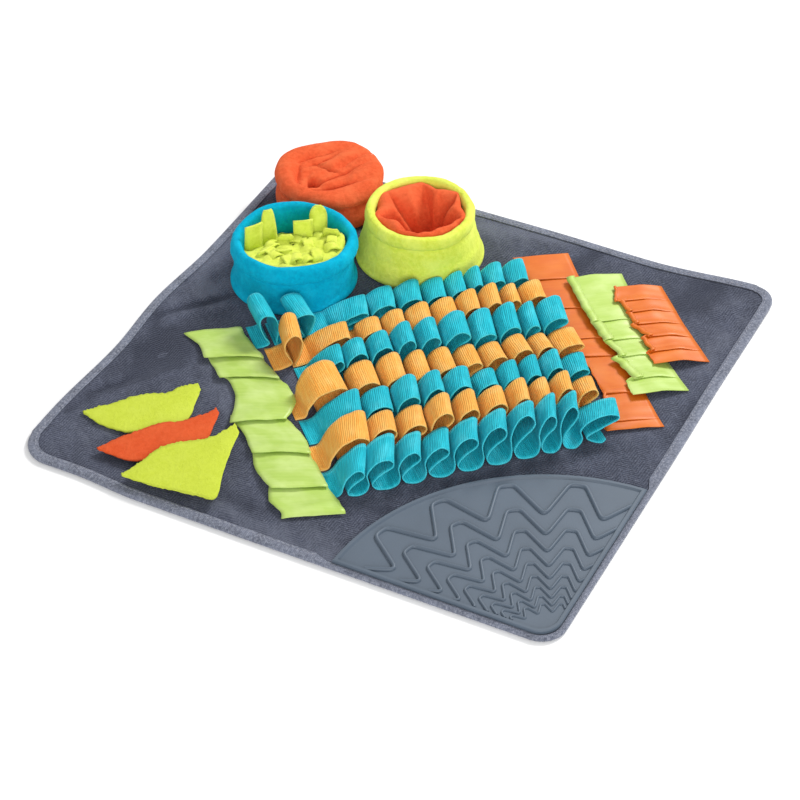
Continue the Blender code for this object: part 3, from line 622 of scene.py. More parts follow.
def add_run_of_stitches(name, guide_points, closed, length, gap, radius, paint):
    """A row of stitches: one is shaped, repeated along a guide curve, and bent to follow it."""
    guide_data = bpy.data.curves.new(name + "_guide", "CURVE")
    guide_data.dimensions = "3D"
    guide_data.twist_mode = "Z_UP"
    line = guide_data.splines.new("POLY")
    line.points.add(len(guide_points) - 1)
    for point, (x, y, z) in zip(line.points, guide_points):
        point.co = (x, y, z, 1)
    line.use_cyclic_u = closed
    guide = bpy.data.objects.new(name + "_guide", guide_data)
    bpy.context.collection.objects.link(guide)
    bpy.ops.object.select_all(action="DESELECT")
    bpy.ops.mesh.primitive_uv_sphere_add(segments=6, ring_count=5, radius=radius * MM)
    piece = bpy.context.object
    piece.name = name
    bpy.ops.object.mode_set(mode="EDIT")
    bpy.ops.mesh.select_all(action="SELECT")
    bpy.ops.transform.rotate(value=pi / 2, orient_axis="Y", center_override=(0, 0, 0))
    bpy.ops.transform.resize(value=(length / 2 / radius, 1.0, 0.8), center_override=(0, 0, 0))
    bpy.ops.transform.translate(value=(length / 2 * MM, 0, 0))
    bpy.ops.object.mode_set(mode="OBJECT")
    run = piece.modifiers.new("run", "ARRAY")
    run.use_relative_offset = False
    run.use_constant_offset = True
    run.constant_offset_displace = ((length + gap) * MM, 0, 0)
    run.fit_type = "FIT_CURVE"
    run.curve = guide
    bend = piece.modifiers.new("bend", "CURVE")
    bend.object = guide
    bpy.ops.object.modifier_apply(modifier="run")
    bpy.ops.object.modifier_apply(modifier="bend")
    bpy.ops.object.shade_smooth()
    piece.data.materials.append(paint)
    bpy.data.objects.remove(guide)
    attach(piece, "root")
    return piece


def add_binding_stitches(outline):
    """The stitches run round the tape from one tip of the lick mat to the other."""
    first = max(range(len(outline)), key=lambda i: (binding_wide(outline[i]) < BINDING_WIDE - 0.5, i))
    around_tape = outline[first + 1 :] + outline[: first + 1]
    wide_tape = [spot for spot in around_tape if binding_wide(spot) > BINDING_WIDE - 0.5]
    guide = [inset_point(spot, BINDING_WIDE - STITCHES_IN, 4.7) for spot in wide_tape]
    add_run_of_stitches("binding_stitches", guide, False, 2.8, 1.7, 0.42, PALE_THREAD)


# --- ribbon loops -----------------------------------------------------------------------------------

RIBBON_WIDE = 32.0
RIBBON_THICK = 0.9
ROW_PITCH = 34.8
LAST_ROW_Y = -122.0
# One loop from foot to landing: across (0 at the foot, 1 at the far side) and up. A curled loop turns
# over to the right, a standing one is a narrow drop, and a lying or rising one climbs to the right
LOOP_SHAPES = {
    "curled": (
        (0.01, 0.17), (-0.02, 0.35), (-0.05, 0.52), (0.04, 0.72), (0.21, 0.89), (0.43, 0.98), (0.66, 1.0),
        (0.87, 0.91), (0.97, 0.77), (0.87, 0.63), (0.55, 0.50), (0.26, 0.33), (0.14, 0.17), (0.22, 0.04),
    ),
    "standing": (
        (0.30, 0.10), (0.26, 0.28), (0.16, 0.50), (0.08, 0.72), (0.10, 0.89), (0.25, 0.99), (0.48, 1.0),
        (0.66, 0.90), (0.70, 0.73), (0.64, 0.52), (0.56, 0.30), (0.46, 0.12), (0.44, 0.05), (0.50, 0.01),
    ),
    "flopped": (
        (0.10, 0.08), (-0.06, 0.26), (-0.22, 0.50), (-0.30, 0.74), (-0.22, 0.92), (0.02, 1.0), (0.28, 0.96),
        (0.46, 0.82), (0.56, 0.62), (0.56, 0.40), (0.48, 0.20), (0.44, 0.08), (0.50, 0.02),
    ),
    "drop": (
        (0.30, 0.10), (0.16, 0.30), (0.02, 0.54), (0.02, 0.78), (0.16, 0.94), (0.42, 1.0), (0.68, 0.94),
        (0.84, 0.78), (0.82, 0.55), (0.68, 0.30), (0.50, 0.12), (0.46, 0.05), (0.52, 0.01),
    ),
    "lying": (
        (0.03, 0.08), (0.10, 0.26), (0.22, 0.48), (0.38, 0.68), (0.56, 0.84), (0.76, 0.96), (0.92, 1.0),
        (1.03, 0.90), (1.04, 0.72), (0.92, 0.56), (0.66, 0.42), (0.42, 0.26), (0.28, 0.12), (0.30, 0.02),
    ),
    "rising": (
        (-0.02, 0.12), (0.02, 0.30), (0.10, 0.50), (0.22, 0.70), (0.38, 0.86), (0.58, 0.96), (0.80, 1.0),
        (1.0, 0.92), (1.08, 0.76), (1.0, 0.62), (0.76, 0.50), (0.50, 0.34), (0.32, 0.16), (0.30, 0.03),
    ),
}
SHAPE_OF = {
    ("teal_row_1", 0): "flopped",
    ("teal_row_1", 1): "standing",
    ("teal_row_1", 2): "lying",
    ("orange_row_2", 0): "drop",
    ("orange_row_2", 1): "lying",
    ("teal_row_3", 0): "lying",
    ("orange_row_4", 0): "rising",
    ("teal_row_5", 0): "lying",
    ("orange_row_6", 0): "rising",
    ("teal_row_7", 0): "rising",
}
# Loops that lean otherwise than the rest of their row
LEAN_OF = {
    ("teal_row_1", 0): -3.0,
    ("teal_row_1", 1): -5.0,
    ("orange_row_2", 0): 5.0,
    ("orange_row_4", 0): -4.0,
}
# Rows from the back to the front: how far the back edge of a loop's top stands to the right of its front
# edge, the last loop's reach, then for each loop its foot (x) and its height at the front and back edges
ROWS = {
    "teal_row_1": (8, 22, (
        (-108, 33, 36), (-84, 26, 28), (-50, 15, 11), (-10, 18, 16), (16, 19, 17),
        (41, 17, 14), (64, 18, 16), (83, 21, 18), (99, 21, 18), (120, 19, 17),
    )),
    "orange_row_2": (7, 24, (
        (-101, 33, 35), (-78, 21, 13), (-31, 20, 12), (-7, 21, 15), (15, 22, 17),
        (39, 22, 17), (63, 24, 21), (84, 25, 23), (104, 23, 18), (122, 23, 17),
    )),
    "teal_row_3": (6, 26, (
        (-84, 24, 18), (-55, 28, 21), (-32, 29, 23), (-9, 31, 28), (12, 29, 27),
        (35, 28, 28), (62, 20, 25), (86, 22, 26), (109, 19, 22), (127, 22, 23),
    )),
    "orange_row_4": (3, 28, (
        (-102, 24, 32), (-60, 23, 23), (-32, 21, 25), (-7, 18, 22), (15, 21, 20),
        (38, 21, 17), (61, 22, 14), (84, 24, 17), (107, 22, 13), (127, 19, 13),
    )),
    "teal_row_5": (8, 24, (
        (-100, 26, 23), (-60, 24, 20), (-32, 28, 27), (-8, 31, 26), (14, 28, 24),
        (39, 24, 15), (63, 24, 19), (83, 24, 20), (102, 27, 21), (122, 19, 12),
    )),
    "orange_row_6": (8, 22, (
        (-103, 26, 29), (-67, 30, 23), (-40, 27, 22), (-14, 33, 29), (10, 31, 27),
        (33, 31, 24), (58, 31, 27), (79, 30, 23), (98, 32, 25), (118, 25, 13),
    )),
    "teal_row_7": (13, 38, (
        (-104, 22, 23), (-81, 28, 28), (-54, 29, 24), (-31, 28, 22), (-6, 32, 26),
        (19, 37, 29), (44, 43, 31), (69, 37, 34), (88, 42, 31), (107, 25, 15),
    )),
}
LOOP_SPACING = 4.5
WIDEST_LOOP = 34.0
LEFT_TAIL = 11.0
RIGHT_TAIL = 9.0
LOW = BASE_THICK + GAP + 0.5
FRONT_BULGE = 4.5


def row_path(name, lean, edge, reach, loops):
    """The ribbon's middle along a row, as (x, z, share of the way through the floor part of a loop)."""
    path = [(loops[0][0] - LEFT_TAIL, LOW, 0.0), (loops[0][0] - 3.5, LOW, 0.0)]
    for number, loop in enumerate(loops):
        foot, height = loop[0], loop[edge]
        last = number == len(loops) - 1
        pitch = reach if last else loops[number + 1][0] - foot
        wide = min(pitch - LOOP_SPACING, WIDEST_LOOP)
        for across, up in LOOP_SHAPES[SHAPE_OF.get((name, number), "curled")]:
            leaning = LEAN_OF.get((name, number), lean) if edge == 2 else 0.0
            path.append((foot + across * wide + leaning * up, LOW + up * height, 0.0))
        end = foot + (max(RIGHT_TAIL, 0.3 * wide + 11.0) if last else pitch - 2.5)
        start = min(foot + 0.30 * wide + 1.0, end - 3.0)
        for share in (0.0, 0.5, 1.0):
            rise = 0.0 if last else 0.8 * share
            path.append((start + (end - start) * share, LOW + rise, sin(pi * (0.15 + 0.7 * share))))
    return smooth_path(path, 5)


def add_rows():
    across_steps = 10
    for number, (name, (lean, reach, loops)) in enumerate(ROWS.items()):
        middle = LAST_ROW_Y + ROW_PITCH * (len(ROWS) - 1 - number)
        front = row_path(name, 0.0, 1, reach, loops)
        back = row_path(name, lean, 2, reach, loops)
        bulge = FRONT_BULGE if number == len(ROWS) - 1 else 1.0
        grid = []
        for (ax, az, a_floor), (bx, bz, _) in zip(front, back):
            row = []
            for step in range(across_steps + 1):
                share = step / across_steps
                x, z = ax + (bx - ax) * share, az + (bz - az) * share
                up = min(1.0, (z - LOW) / 8.0)
                x += 0.7 * up * uneven(x, z * 0.6, share * 12 + number * 9, 9.0)
                z += 0.6 * up * uneven(z, x, share * 14 + number * 5, 10.0)
                y = middle + RIBBON_WIDE * (share - 0.5) - bulge * a_floor * (1.0 - share) ** 2
                y += 0.35 * uneven(x, z, number * 7.0, 6.0)
                row.append(place(x, y, z))
            grid.append(row)
        paint, slot = (TEAL, "teal_ribbon") if name.startswith("teal") else (AMBER, "orange_ribbon")
        piece = cloth_piece("ribbon_" + name, grid, RIBBON_THICK, paint)
        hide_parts(name)


# --- satin: pleats and tucked strips ----------------------------------------------------------------

# The lime pleats from back to front. Each is a few lines across the ribbon, as its left end x and y,
# its right end x and y, and its height; the last line of each is a lip that turns back under itself
PLEATS = (
    ((-174, 111, -123, 105, 5.5), (-166, 92, -122, 84, 7.0), (-166, 70, -117, 54, 9.6)),
    ((-161, 60, -116, 50, 6.0), (-161, 40, -112, 23, 8.6)),
    ((-153, 32, -107, 10, 7.2), (-155, 6, -107, -15, 7.6), (-167, -22, -120, -33, 9.8)),
    ((-160, -44, -113, -60, 7.4), (-161, -65, -114, -81, 9.4)),
    ((-163, -85, -113, -100, 7.2), (-159, -113, -113, -126, 9.4)),
    ((-163, -127, -110, -142, 7.2), (-158, -143, -108, -157, 8.6), (-159, -150, -108, -161, 6.0)),
)
PLEAT_TUCKS = (9.0, 4.0, 8.0, 10.0, 10.0)


def flat_size(grid, closed=False):
    """The flat width and length of a grid of cloth, in metres."""
    rows = grid + grid[:1] if closed else grid
    width = sum((b - a).length for row in grid for a, b in zip(row, row[1:])) / len(grid)
    columns = len(grid[0])
    length = sum((b[j] - a[j]).length for a, b in zip(rows, rows[1:]) for j in range(columns)) / columns
    return (round(width, 3), round(length, 3))


def add_pleats():
    lines = []
    for number, pleat in enumerate(PLEATS):
        lines += pleat
        if number < len(PLEAT_TUCKS):
            left_x, left_y, right_x, right_y, z = pleat[-1]
            tuck = PLEAT_TUCKS[number]
            lines.append((left_x + 1, left_y + 0.5, right_x, right_y + 0.5, z - 1.6))
            lines.append((left_x + 2, left_y + tuck, right_x - 1, right_y + tuck, z - 2.8))
            lines.append((left_x + 3, left_y + tuck, right_x - 1, right_y + tuck, z - 4.2))
    grid = []
    for left_x, left_y, right_x, right_y, z in smooth_path(lines, 5):
        row = []
        for step in range(15):
            share = step / 14
            x, y = left_x + (right_x - left_x) * share, left_y + (right_y - left_y) * share
            side = 2 * abs(share - 0.5)
            lift = 1.5 * uneven(x * 0.7, y * 1.8, 4.0, 15.0) - 1.2 * side**3
            lift += 0.5 * uneven(x * 0.4, y, 8.0, 4.0)
            row.append(place(x + 0.9 * side**4 * uneven(y, x, 1.0, 6.0), y, max(z + lift, 4.3)))
        grid.append(row)
    piece = cloth_piece("lime_pleated_ribbon", grid, 0.7, LIME_SATIN)
    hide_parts("lime_pleats")


# Tucked strips: how far the left edge stands above the right one, how much further back it is, then for
# each stretch between two tucks: y and right edge x at its start, y and right edge x at its end, left edge
# x at start and end, and how wide the left edge is folded over
STRIPS = {
    "strip_orange_long": (0.8, 8.0, (
        (117, 194, 79, 190, 143, 144, 0.6), (79, 190, 34, 188, 142, 142, 0.6),
        (34, 188, -12, 187, 141, 141, 0.6), (-12, 187, -39, 184, 141, 150, 0.6),
        (-39, 184, -92, 183, 150, 148, 0.6), (-92, 183, -128, 181, 148, 134, 3.0),
        (-128, 181, -141, 181, 132, 132, 0.6),
    )),
    "strip_lime": (4.2, 4.0, (
        (72, 229, 3, 222, 175, 172, 8.0),
        (3, 222, -25, 219, 172, 173, 10.0), (-25, 219, -50, 218, 174, 178, 7.0),
        (-50, 218, -82, 219, 171, 178, 9.0), (-82, 219, -104, 220, 172, 169, 0.6),
    )),
    "strip_orange_short": (5.0, 6.0, (
        (43, 256, 22, 255, 212, 204, 2.5),
        (22, 255, 4, 254, 208, 209, 4.0), (4, 254, -14, 253, 207, 208, 4.5),
        (-14, 253, -34, 253, 204, 211, 5.0), (-34, 253, -54, 253, 205, 207, 4.0),
        (-54, 253, -73, 253, 203, 203, 1.0),
    )),
}
STRIP_ACROSS = 10


def add_strips():
    low = BASE_THICK + GAP + 0.6
    for name, (rise, skew, stretches) in STRIPS.items():
        lines = []
        for start_y, start_x, end_y, end_x, start_left, end_left, fold in stretches:
            for share, up in ((0.0, 0.0), (0.12, 0.2), (0.4, 0.4), (0.75, 0.8), (0.93, 1.5)):
                y = start_y + (end_y - start_y) * share
                left = start_left + (end_left - start_left) * share
                lines.append((left, start_x + (end_x - start_x) * share, y, up, fold))
            lines.append((end_left, end_x, end_y - 1.2, 1.6, fold))
            lines.append((end_left + 1.0, end_x, end_y + 1.8, 0.7, fold))
        grid = []
        for left, right, y, up, fold in smooth_path(lines[:-2], 4):
            row = []
            for turn, high in ((1.0, 1.5), (0.55, 2.0), (0.05, 1.4), (0.12, 0.4)):
                x = left + fold * turn
                ragged = 1.6 * uneven(y, x * 0.2, 2.0 + turn, 6.0)
                row.append(place(x + ragged, y + skew, low + rise + up * 0.8 + high * min(1.0, fold / 3)))
            for step in range(STRIP_ACROSS + 1):
                share = step / STRIP_ACROSS
                x = left + fold * 0.2 + 1.0 + (right - left - fold * 0.2 - 1.0) * share
                edge = min(1.0, (1.0 - share) * 2.2)
                wave = 0.7 * uneven(x * 0.5, y, 6.0, 9.0) + 0.5 * uneven(x, y, 2.0, 20.0)
                swell = up * (0.35 + 0.65 * (1 - share)) + max(wave, -0.5)
                z = low + rise * edge + swell * min(1.0, edge + 0.3)
                row.append(place(x, y + skew * (1 - share), z))
            grid.append(row)
        paint, slot = (LIME_SATIN, "lime_satin") if name == "strip_lime" else (ORANGE_SATIN, "orange_satin")
        piece = cloth_piece("tucked_" + name, grid, 0.6, paint)
        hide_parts(name)


# --- fleece: flaps, cups, fringe and pouch ----------------------------------------------------------

# Flaps from the tip to the sewn edge: x, y of the far edge, y of the near edge, height of the middle
FLAPS = {
    "flap_lime_back": (
        (-282, 33, 31, 4.6), (-273, 34, 13, 5.0),
        (-262, 34, 1, 5.4), (-250, 35, -8, 5.6), (-237, 38, -11, 5.8),
        (-223, 36, -11, 6.0), (-209, 33, -11, 5.8),
        (-198, 37, -4, 5.6), (-189, 38, 12, 5.4), (-180, 38, 29, 5.0),
    ),
    "flap_orange": (
        (-282, -21, -23, 7.6), (-273, -19, -33, 8.2), (-262, -15, -44, 8.4), (-249, -12, -50, 8.6),
        (-234, -9, -50, 8.8), (-221, -8, -50, 9.0), (-207, -11, -48, 8.8), (-192, -8, -40, 8.4),
        (-182, -7, -24, 8.2), (-174, -2, -10, 7.8),
    ),
    "flap_lime_front": (
        (-271, -64, -66, 11.2), (-260, -59, -77, 11.8), (-248, -52, -88, 12.2), (-234, -43, -98, 12.4),
        (-218, -41, -110, 12.4), (-205, -42, -117, 12.2), (-192, -43, -91, 12.0), (-180, -39, -68, 11.8),
        (-165, -31, -43, 11.2),
    ),
}


def add_flaps():
    for name, sections in FLAPS.items():
        grid = []
        for x, far, near, z in smooth_path(sections, 8):
            row = []
            for step in range(17):
                share = step / 16
                side = 2 * abs(share - 0.5)
                y = far + (near - far) * share
                ragged, seed = (2.1, 3.0) if share < 0.5 else (1.0, 9.0)
                y += ragged * side**6 * uneven(x, seed, far - near, 3.2)
                hump = 1.0 - side * side + 0.8 * uneven(x, y, 3.0, 22.0) * (1 - side)
                row.append(place(x + 0.8 * uneven(y, x, 5.0, 4.0) * (step % 16 > 0), y, z + hump))
            grid.append(row)
        paint, slot = (FLAP_ORANGE, "orange_fleece") if name == "flap_orange" else (FLAP_LIME, "lime_fleece")
        piece = cloth_piece("fleece_" + name, grid, 1.7, paint)
        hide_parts(name)


# Cup walls as distance from the middle and height over the base: up outside, over the rim, down inside
BLUE_PROFILE = (
    (57.0, 0.4), (57.0, 2.2), (55.6, 4.2), (54.2, 7.0),
    (54.0, 14.0), (54.2, 22.0), (54.4, 27.0), (53.0, 29.4),
    (56.0, 30.2), (58.4, 33.0), (58.4, 38.0), (57.0, 41.6),
    (54.2, 42.4), (51.6, 40.4), (50.6, 35.0), (50.4, 24.0),
    (50.6, 12.0), (49.6, 2.0),
)
LIME_PROFILE = (
    (58.4, 0.4), (58.8, 2.6), (57.2, 5.0), (56.0, 9.0),
    (54.6, 15.0), (52.6, 20.0), (51.4, 26.0), (49.8, 33.0),
    (48.2, 37.4), (48.4, 38.8), (50.0, 41.0), (50.2, 46.0),
    (48.6, 49.8), (45.6, 50.4), (43.4, 48.0), (42.6, 40.0),
    (43.0, 28.0), (44.0, 14.0), (45.0, 2.0),
)
ORANGE_PROFILE = (
    (46.0, 0.4), (49.4, 3.0), (50.8, 9.0), (50.6, 15.0),
    (48.6, 20.6), (46.0, 24.2), (46.4, 25.8), (49.8, 27.6),
    (51.2, 31.6), (49.2, 36.4), (44.6, 39.2), (38.0, 39.6),
    (31.0, 38.0), (26.0, 35.4), (20.0, 36.0), (13.0, 36.0),
    (8.0, 35.4), (5.4, 33.0), (4.8, 27.0), (5.2, 21.0), (8.0, 18.0),
    (16.0, 16.0),
)
# Round each cup from +x, every 45 degrees: how much wider and how much higher its rim is
BLUE_RIM = ((0, 0), (1, 0), (2.5, 0), (-3, 0), (-5, 1), (-6, 2), (-6, 3), (-3, 2))
LIME_RIM = ((-1, 1), (0, 2), (0, 1), (-1, 1), (-1, 0), (0, -1), (0, -2.5), (0, -1))
ORANGE_RIM = ((-1, -1), (2, 1), (-5, 2), (2, 2), (-1, 0), (-4, -2), (-7, -4), (-4, -3))
MOUTH_SHIFT = (-23.0, -10.0)
# Creases across the top of the orange cup, as CREASES above but measured from the cup's middle
ORANGE_CREASES = (
    (-2.0, 6.0, -44.0, 12.0, 1.7, -8.0),
    (6.0, -7.0, 16.0, 26.0, 1.8, -6.0),
    (-6.0, 25.0, 6.0, 24.0, 2.0, -6.0),
    (-2.0, 17.0, 14.0, 18.0, 1.8, -4.0),
    (-4.0, -24.0, 2.0, 28.0, 2.2, -6.0),
    (24.0, 10.0, 20.0, 20.0, 2.6, -4.0),
    (-30.0, 6.0, 70.0, 14.0, 2.8, -4.5),
    (14.0, 14.0, 10.0, 14.0, 6.0, 3.5),
    (18.0, -15.0, 14.0, 18.0, 4.0, 2.5),
    (-12.0, -16.0, 6.0, 16.0, 4.0, 2.0),
    (-24.0, -2.0, 30.0, 10.0, 6.0, -3.0),
    (-20.0, -12.0, 0.0, 5.5, 4.5, -15.0),
    (-20.0, -4.0, 20.0, 9.0, 3.0, 3.0),
)
CUP_STEPS = 128


def around(table, angle):
    """Values given every 45 degrees, smoothly joined at an angle in radians."""
    at = (angle / (pi / 4)) % 8
    low = int(at)
    share = at - low
    share = share * share * (3 - 2 * share)
    return tuple(a + (b - a) * share for a, b in zip(table[low], table[(low + 1) % 8]))


def add_cup(name, profile, rim, paint, shift=(0.0, 0.0), creases=(), thick=2.0):
    middle_x, middle_y = CUPS[name]
    top = max(z for _, z in profile)
    floor_z = BASE_THICK + GAP + 0.6
    path = smooth_path(profile, 4)
    grid = []
    for step in range(CUP_STEPS):
        angle = 2 * pi * step / CUP_STEPS
        wider, higher = around(rim, angle)
        row = []
        for number, (radius, z) in enumerate(path):
            up = z / top
            soft = min(1.0, up * 2.0)
            lump = 0.8 * uneven(cos(angle) * 3, sin(angle) * 3, number * 0.05 + middle_x, 1.0)
            fine = 0.5 * uneven(cos(angle) * 9, sin(angle) * 9, z * 0.12, 1.0)
            spread_out = radius + (wider * up * up + lump * soft + fine * up) * min(1.0, radius / 30)
            share = max(0.0, 1.0 - radius / 44.0)
            x = spread_out * cos(angle) + shift[0] * share
            y = spread_out * sin(angle) + shift[1] * share
            high = z + higher * up * up + 0.5 * up * uneven(x, y, 2.0, 26.0)
            if up > 0.6 and creases:
                high += added_up(x, y, creases)
            row.append(place(middle_x + x, middle_y + y, floor_z + max(high, 0.0)))
        grid.append(row)
    piece = cloth_piece(name + "_wall", grid, thick, paint, closed=True)
    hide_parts(name)


# The pouch in the lime cup, as a wall, and its folds: angle in degrees, width in degrees, share inwards
POUCH_PROFILE = (
    (41.6, 32.0), (42.0, 41.0), (40.8, 48.0), (37.4, 50.0),
    (33.6, 45.0), (28.0, 33.0), (20.0, 20.0), (12.0, 9.0),
    (8.0, 5.0), (6.0, 1.0),
)
POUCH_FOLDS = (
    (205.0, 13.0, 0.30), (178.0, 6.0, -0.16), (152.0, 13.0, 0.34), (126.0, 6.0, -0.18), (100.0, 14.0, 0.16),
    (72.0, 6.0, -0.16), (46.0, 13.0, 0.36), (18.0, 6.0, -0.16), (-8.0, 13.0, 0.34), (-36.0, 7.0, -0.14),
    (-75.0, 12.0, 0.10), (-110.0, 5.0, -0.14),
)


def add_pouch():
    middle_x, middle_y = CUPS["lime_cup"]
    path = smooth_path(POUCH_PROFILE, 4)
    grid = []
    for step in range(CUP_STEPS):
        angle = 2 * pi * step / CUP_STEPS
        row = []
        for radius, z in path:
            inward = 0.0
            twist = 0.5 * (1.0 - radius / 41.0)
            for fold, wide, share in POUCH_FOLDS:
                away = (degrees(angle + twist) - fold + 180.0) % 360.0 - 180.0
                inward += share * exp(-((away / wide) ** 2))
            deep = 1.0 - max(0.0, (radius - 30.0) / 12.0) * 0.8
            r = radius * (1.0 - inward * deep) + 0.8 * uneven(cos(angle) * 4, sin(angle) * 4, z * 0.1, 1.0)
            x = r * cos(angle) + 5.0 * (1 - radius / 41.0)
            y = r * sin(angle) - 15.0 * (1 - radius / 41.0)
            high = BASE_THICK + GAP + 0.6 + z + 1.4 * uneven(x, y, z * 0.3, 11.0)
            row.append(place(middle_x + x, middle_y + y, high))
        grid.append(row)
    piece = cloth_piece("pouch_lining", grid, 1.6, ORANGE_FLEECE, closed=True)
    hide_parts("orange_pouch")


# Tongues of the fringe that stand up: x and y of the foot from the cup's middle, turn in degrees, width
# at the foot and at the top, height of the top, lean forwards, and how round the top is
TONGUES = (
    (-32.0, 21.0, 16.0, 19.0, 18.0, 53.0, 3.0, 0.0),
    (-15.0, 29.0, 4.0, 19.0, 10.0, 59.0, 0.0, 0.3),
    (-4.0, 10.0, -12.0, 17.0, 14.0, 46.0, 6.0, 0.5),
    (13.0, 13.0, -6.0, 17.0, 18.0, 54.0, 3.0, 0.0),
    (31.0, 23.0, -16.0, 15.0, 17.0, 59.0, 1.0, 0.9),
    (38.0, 3.0, -30.0, 17.0, 15.0, 47.0, 5.0, 0.3),
    (-30.0, -4.0, 24.0, 19.0, 18.0, 45.0, 6.0, 0.2),
    (-12.0, -8.0, -10.0, 18.0, 16.0, 45.0, 8.0, 0.4),
)
HEAP_ANGLES = 17
GOLDEN_TURN = 2.39996


def heap_height(x, y):
    """The crumpled heap of tongues: high at the front, and falling away towards the back."""
    share = min(max((40.0 - y) / 52.0, 0.0), 1.0)
    lumps = 3.2 * uneven(x, y, 4.0, 9.0) + 1.6 * uneven(x, y, 14.0, 4.5)
    return 15.0 + 25.0 * share * share * (3 - 2 * share) + lumps


def tongue(foot, turn, wide, top_wide, path, round_top=0.0):
    """A strip of fleece: its path is forward and up from the foot, its top square or rounded."""
    rows = []
    path = smooth_path(path, 3)
    side = Vector((cos(turn), sin(turn), 0))
    ahead = Vector((sin(turn), -cos(turn), 0))
    for number, (forward, up) in enumerate(path):
        share = number / (len(path) - 1)
        half = (wide + (top_wide - wide) * share) / 2
        half *= (1.0 - round_top * max(0.0, share - 0.6) ** 2 * 5.0)
        row = []
        for step in range(6):
            across = step / 5 - 0.5
            bow = 0.9 * (0.25 - across * across) * 4
            wave = 0.6 * uneven(foot.x + across * 9, foot.y, up, 5.0)
            aside = side * (2 * half * across) + ahead * (forward + bow + wave)
            row.append(foot + (aside + Vector((0, 0, up))))
        rows.append(row)
    return rows


def add_fringe():
    middle_x, middle_y = CUPS["blue_cup"]
    low = BASE_THICK + GAP + 0.6
    middle = Vector((middle_x, middle_y, low))
    heap = []
    for step in range(96):
        angle = 2 * pi * step / 96
        row = []
        for number in range(14):
            radius = 47.0 - 45.0 * number / 13
            x, y = radius * cos(angle), radius * sin(angle)
            row.append(place(middle_x + x, middle_y + y, low + heap_height(x, y)))
        heap.append(row)
    pieces = [cloth_piece("fringe", heap, 1.6, LIME_FLEECE, closed=True)]
    total = flat_size(heap, True)
    area = total[0] * total[1]
    strips = []
    for x, y, turn, wide, top_wide, top, lean, round_top in TONGUES:
        low_end = heap_height(x, y) - 6.0
        high = top - low_end
        path = ((0, 0), (lean * 0.3, high * 0.4), (lean * 0.7, high * 0.75), (lean, high))
        spot = middle + Vector((x, y, low_end))
        strips.append(tongue(spot, radians(turn), wide, top_wide, path, round_top))
    for k in range(HEAP_ANGLES):
        turn = GOLDEN_TURN * k
        radius = 12.0 + 27.0 * ((k * 0.37) % 1.0)
        x, y = radius * cos(turn), -6.0 + 0.85 * radius * sin(turn)
        rise = heap_height(x, y)
        if y > 18:
            continue
        path = ((-7, -4), (-6, 1.5), (-2, 4.6), (3, 4.4), (7, 1.2), (8, -3))
        strips.append(tongue(middle + Vector((x, y, rise)), turn * 1.7, 10.0, 8.5, path, 0.3))
    for number, grid in enumerate(strips):
        grid = [[place(p.x, p.y, p.z) for p in row] for row in grid]
        pieces.append(cloth_piece("tongue_%d" % number, grid, 1.5, LIME_FLEECE))
        wide, long = flat_size(grid)
        area += wide * long
    bpy.ops.object.select_all(action="DESELECT")
    for piece in pieces:
        piece.select_set(True)
    bpy.context.view_layer.objects.active = pieces[0]
    bpy.ops.object.join()
    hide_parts("lime_fringe")


# --- lick mat ---------------------------------------------------------------------------------------

LICK_INSET = 5.0
LICK_FLOOR = 2.0
LICK_RIM_HIGH = 3.6
LICK_RIM_WIDE = 4.6
RIDGE_WIDE = 3.8
RIDGE_COUNT = 9
RIDGE_RATIO = 0.838
RIDGE_VALLEY, RIDGE_PEAK, RIDGE_END = 150.0, 185.0, 183.0
RIDGE_FIRST_TURN, RIDGE_TURN = 9.0, 9.1875
FRONT_CORNER = (0.0, -HALF_DIAGONAL)


def trimmed(corners, side):
    """A ridge's corners with its first end cut off short of the lick mat's side."""
    limit = LICK_INSET + RIDGE_WIDE / 2 + 2.2

    def away(point):
        return (point.y + HALF_DIAGONAL - side * point.x) / 2**0.5

    while away(corners[1]) < limit + 1.0:
        corners = corners[1:]
    share = (limit - away(corners[0])) / (away(corners[1]) - away(corners[0]))
    return [corners[0].lerp(corners[1], share), *corners[1:]]


def ridge_corners(size):
    """A zigzag about the front corner: five valleys and four blunt peaks, with its turns rounded."""
    turns = [(RIDGE_END, -44.0)]
    for turn in range(9):
        at = RIDGE_FIRST_TURN + RIDGE_TURN * turn - 45.0
        radius, blunt = (RIDGE_PEAK, 2.1) if turn % 2 else (RIDGE_VALLEY, 0.7)
        turns += [(radius, at - blunt), (radius, at + blunt)]
    turns.append((RIDGE_END, 44.0))
    corners = []
    for radius, turn in turns:
        angle = radians(90.0 + turn)
        corners.append(Vector((radius * size * cos(angle), radius * size * sin(angle) - HALF_DIAGONAL, 0)))
    corners = trimmed(corners, 1)
    corners = trimmed(corners[::-1], -1)[::-1]
    for _ in range(2):
        cut = [corners[0]]
        for before, after in zip(corners, corners[1:]):
            reach = min(0.25, 2.4 * size / max((after - before).length, 0.1))
            cut += [before.lerp(after, reach), after.lerp(before, reach)]
        corners = [*cut, corners[-1]]
    return corners


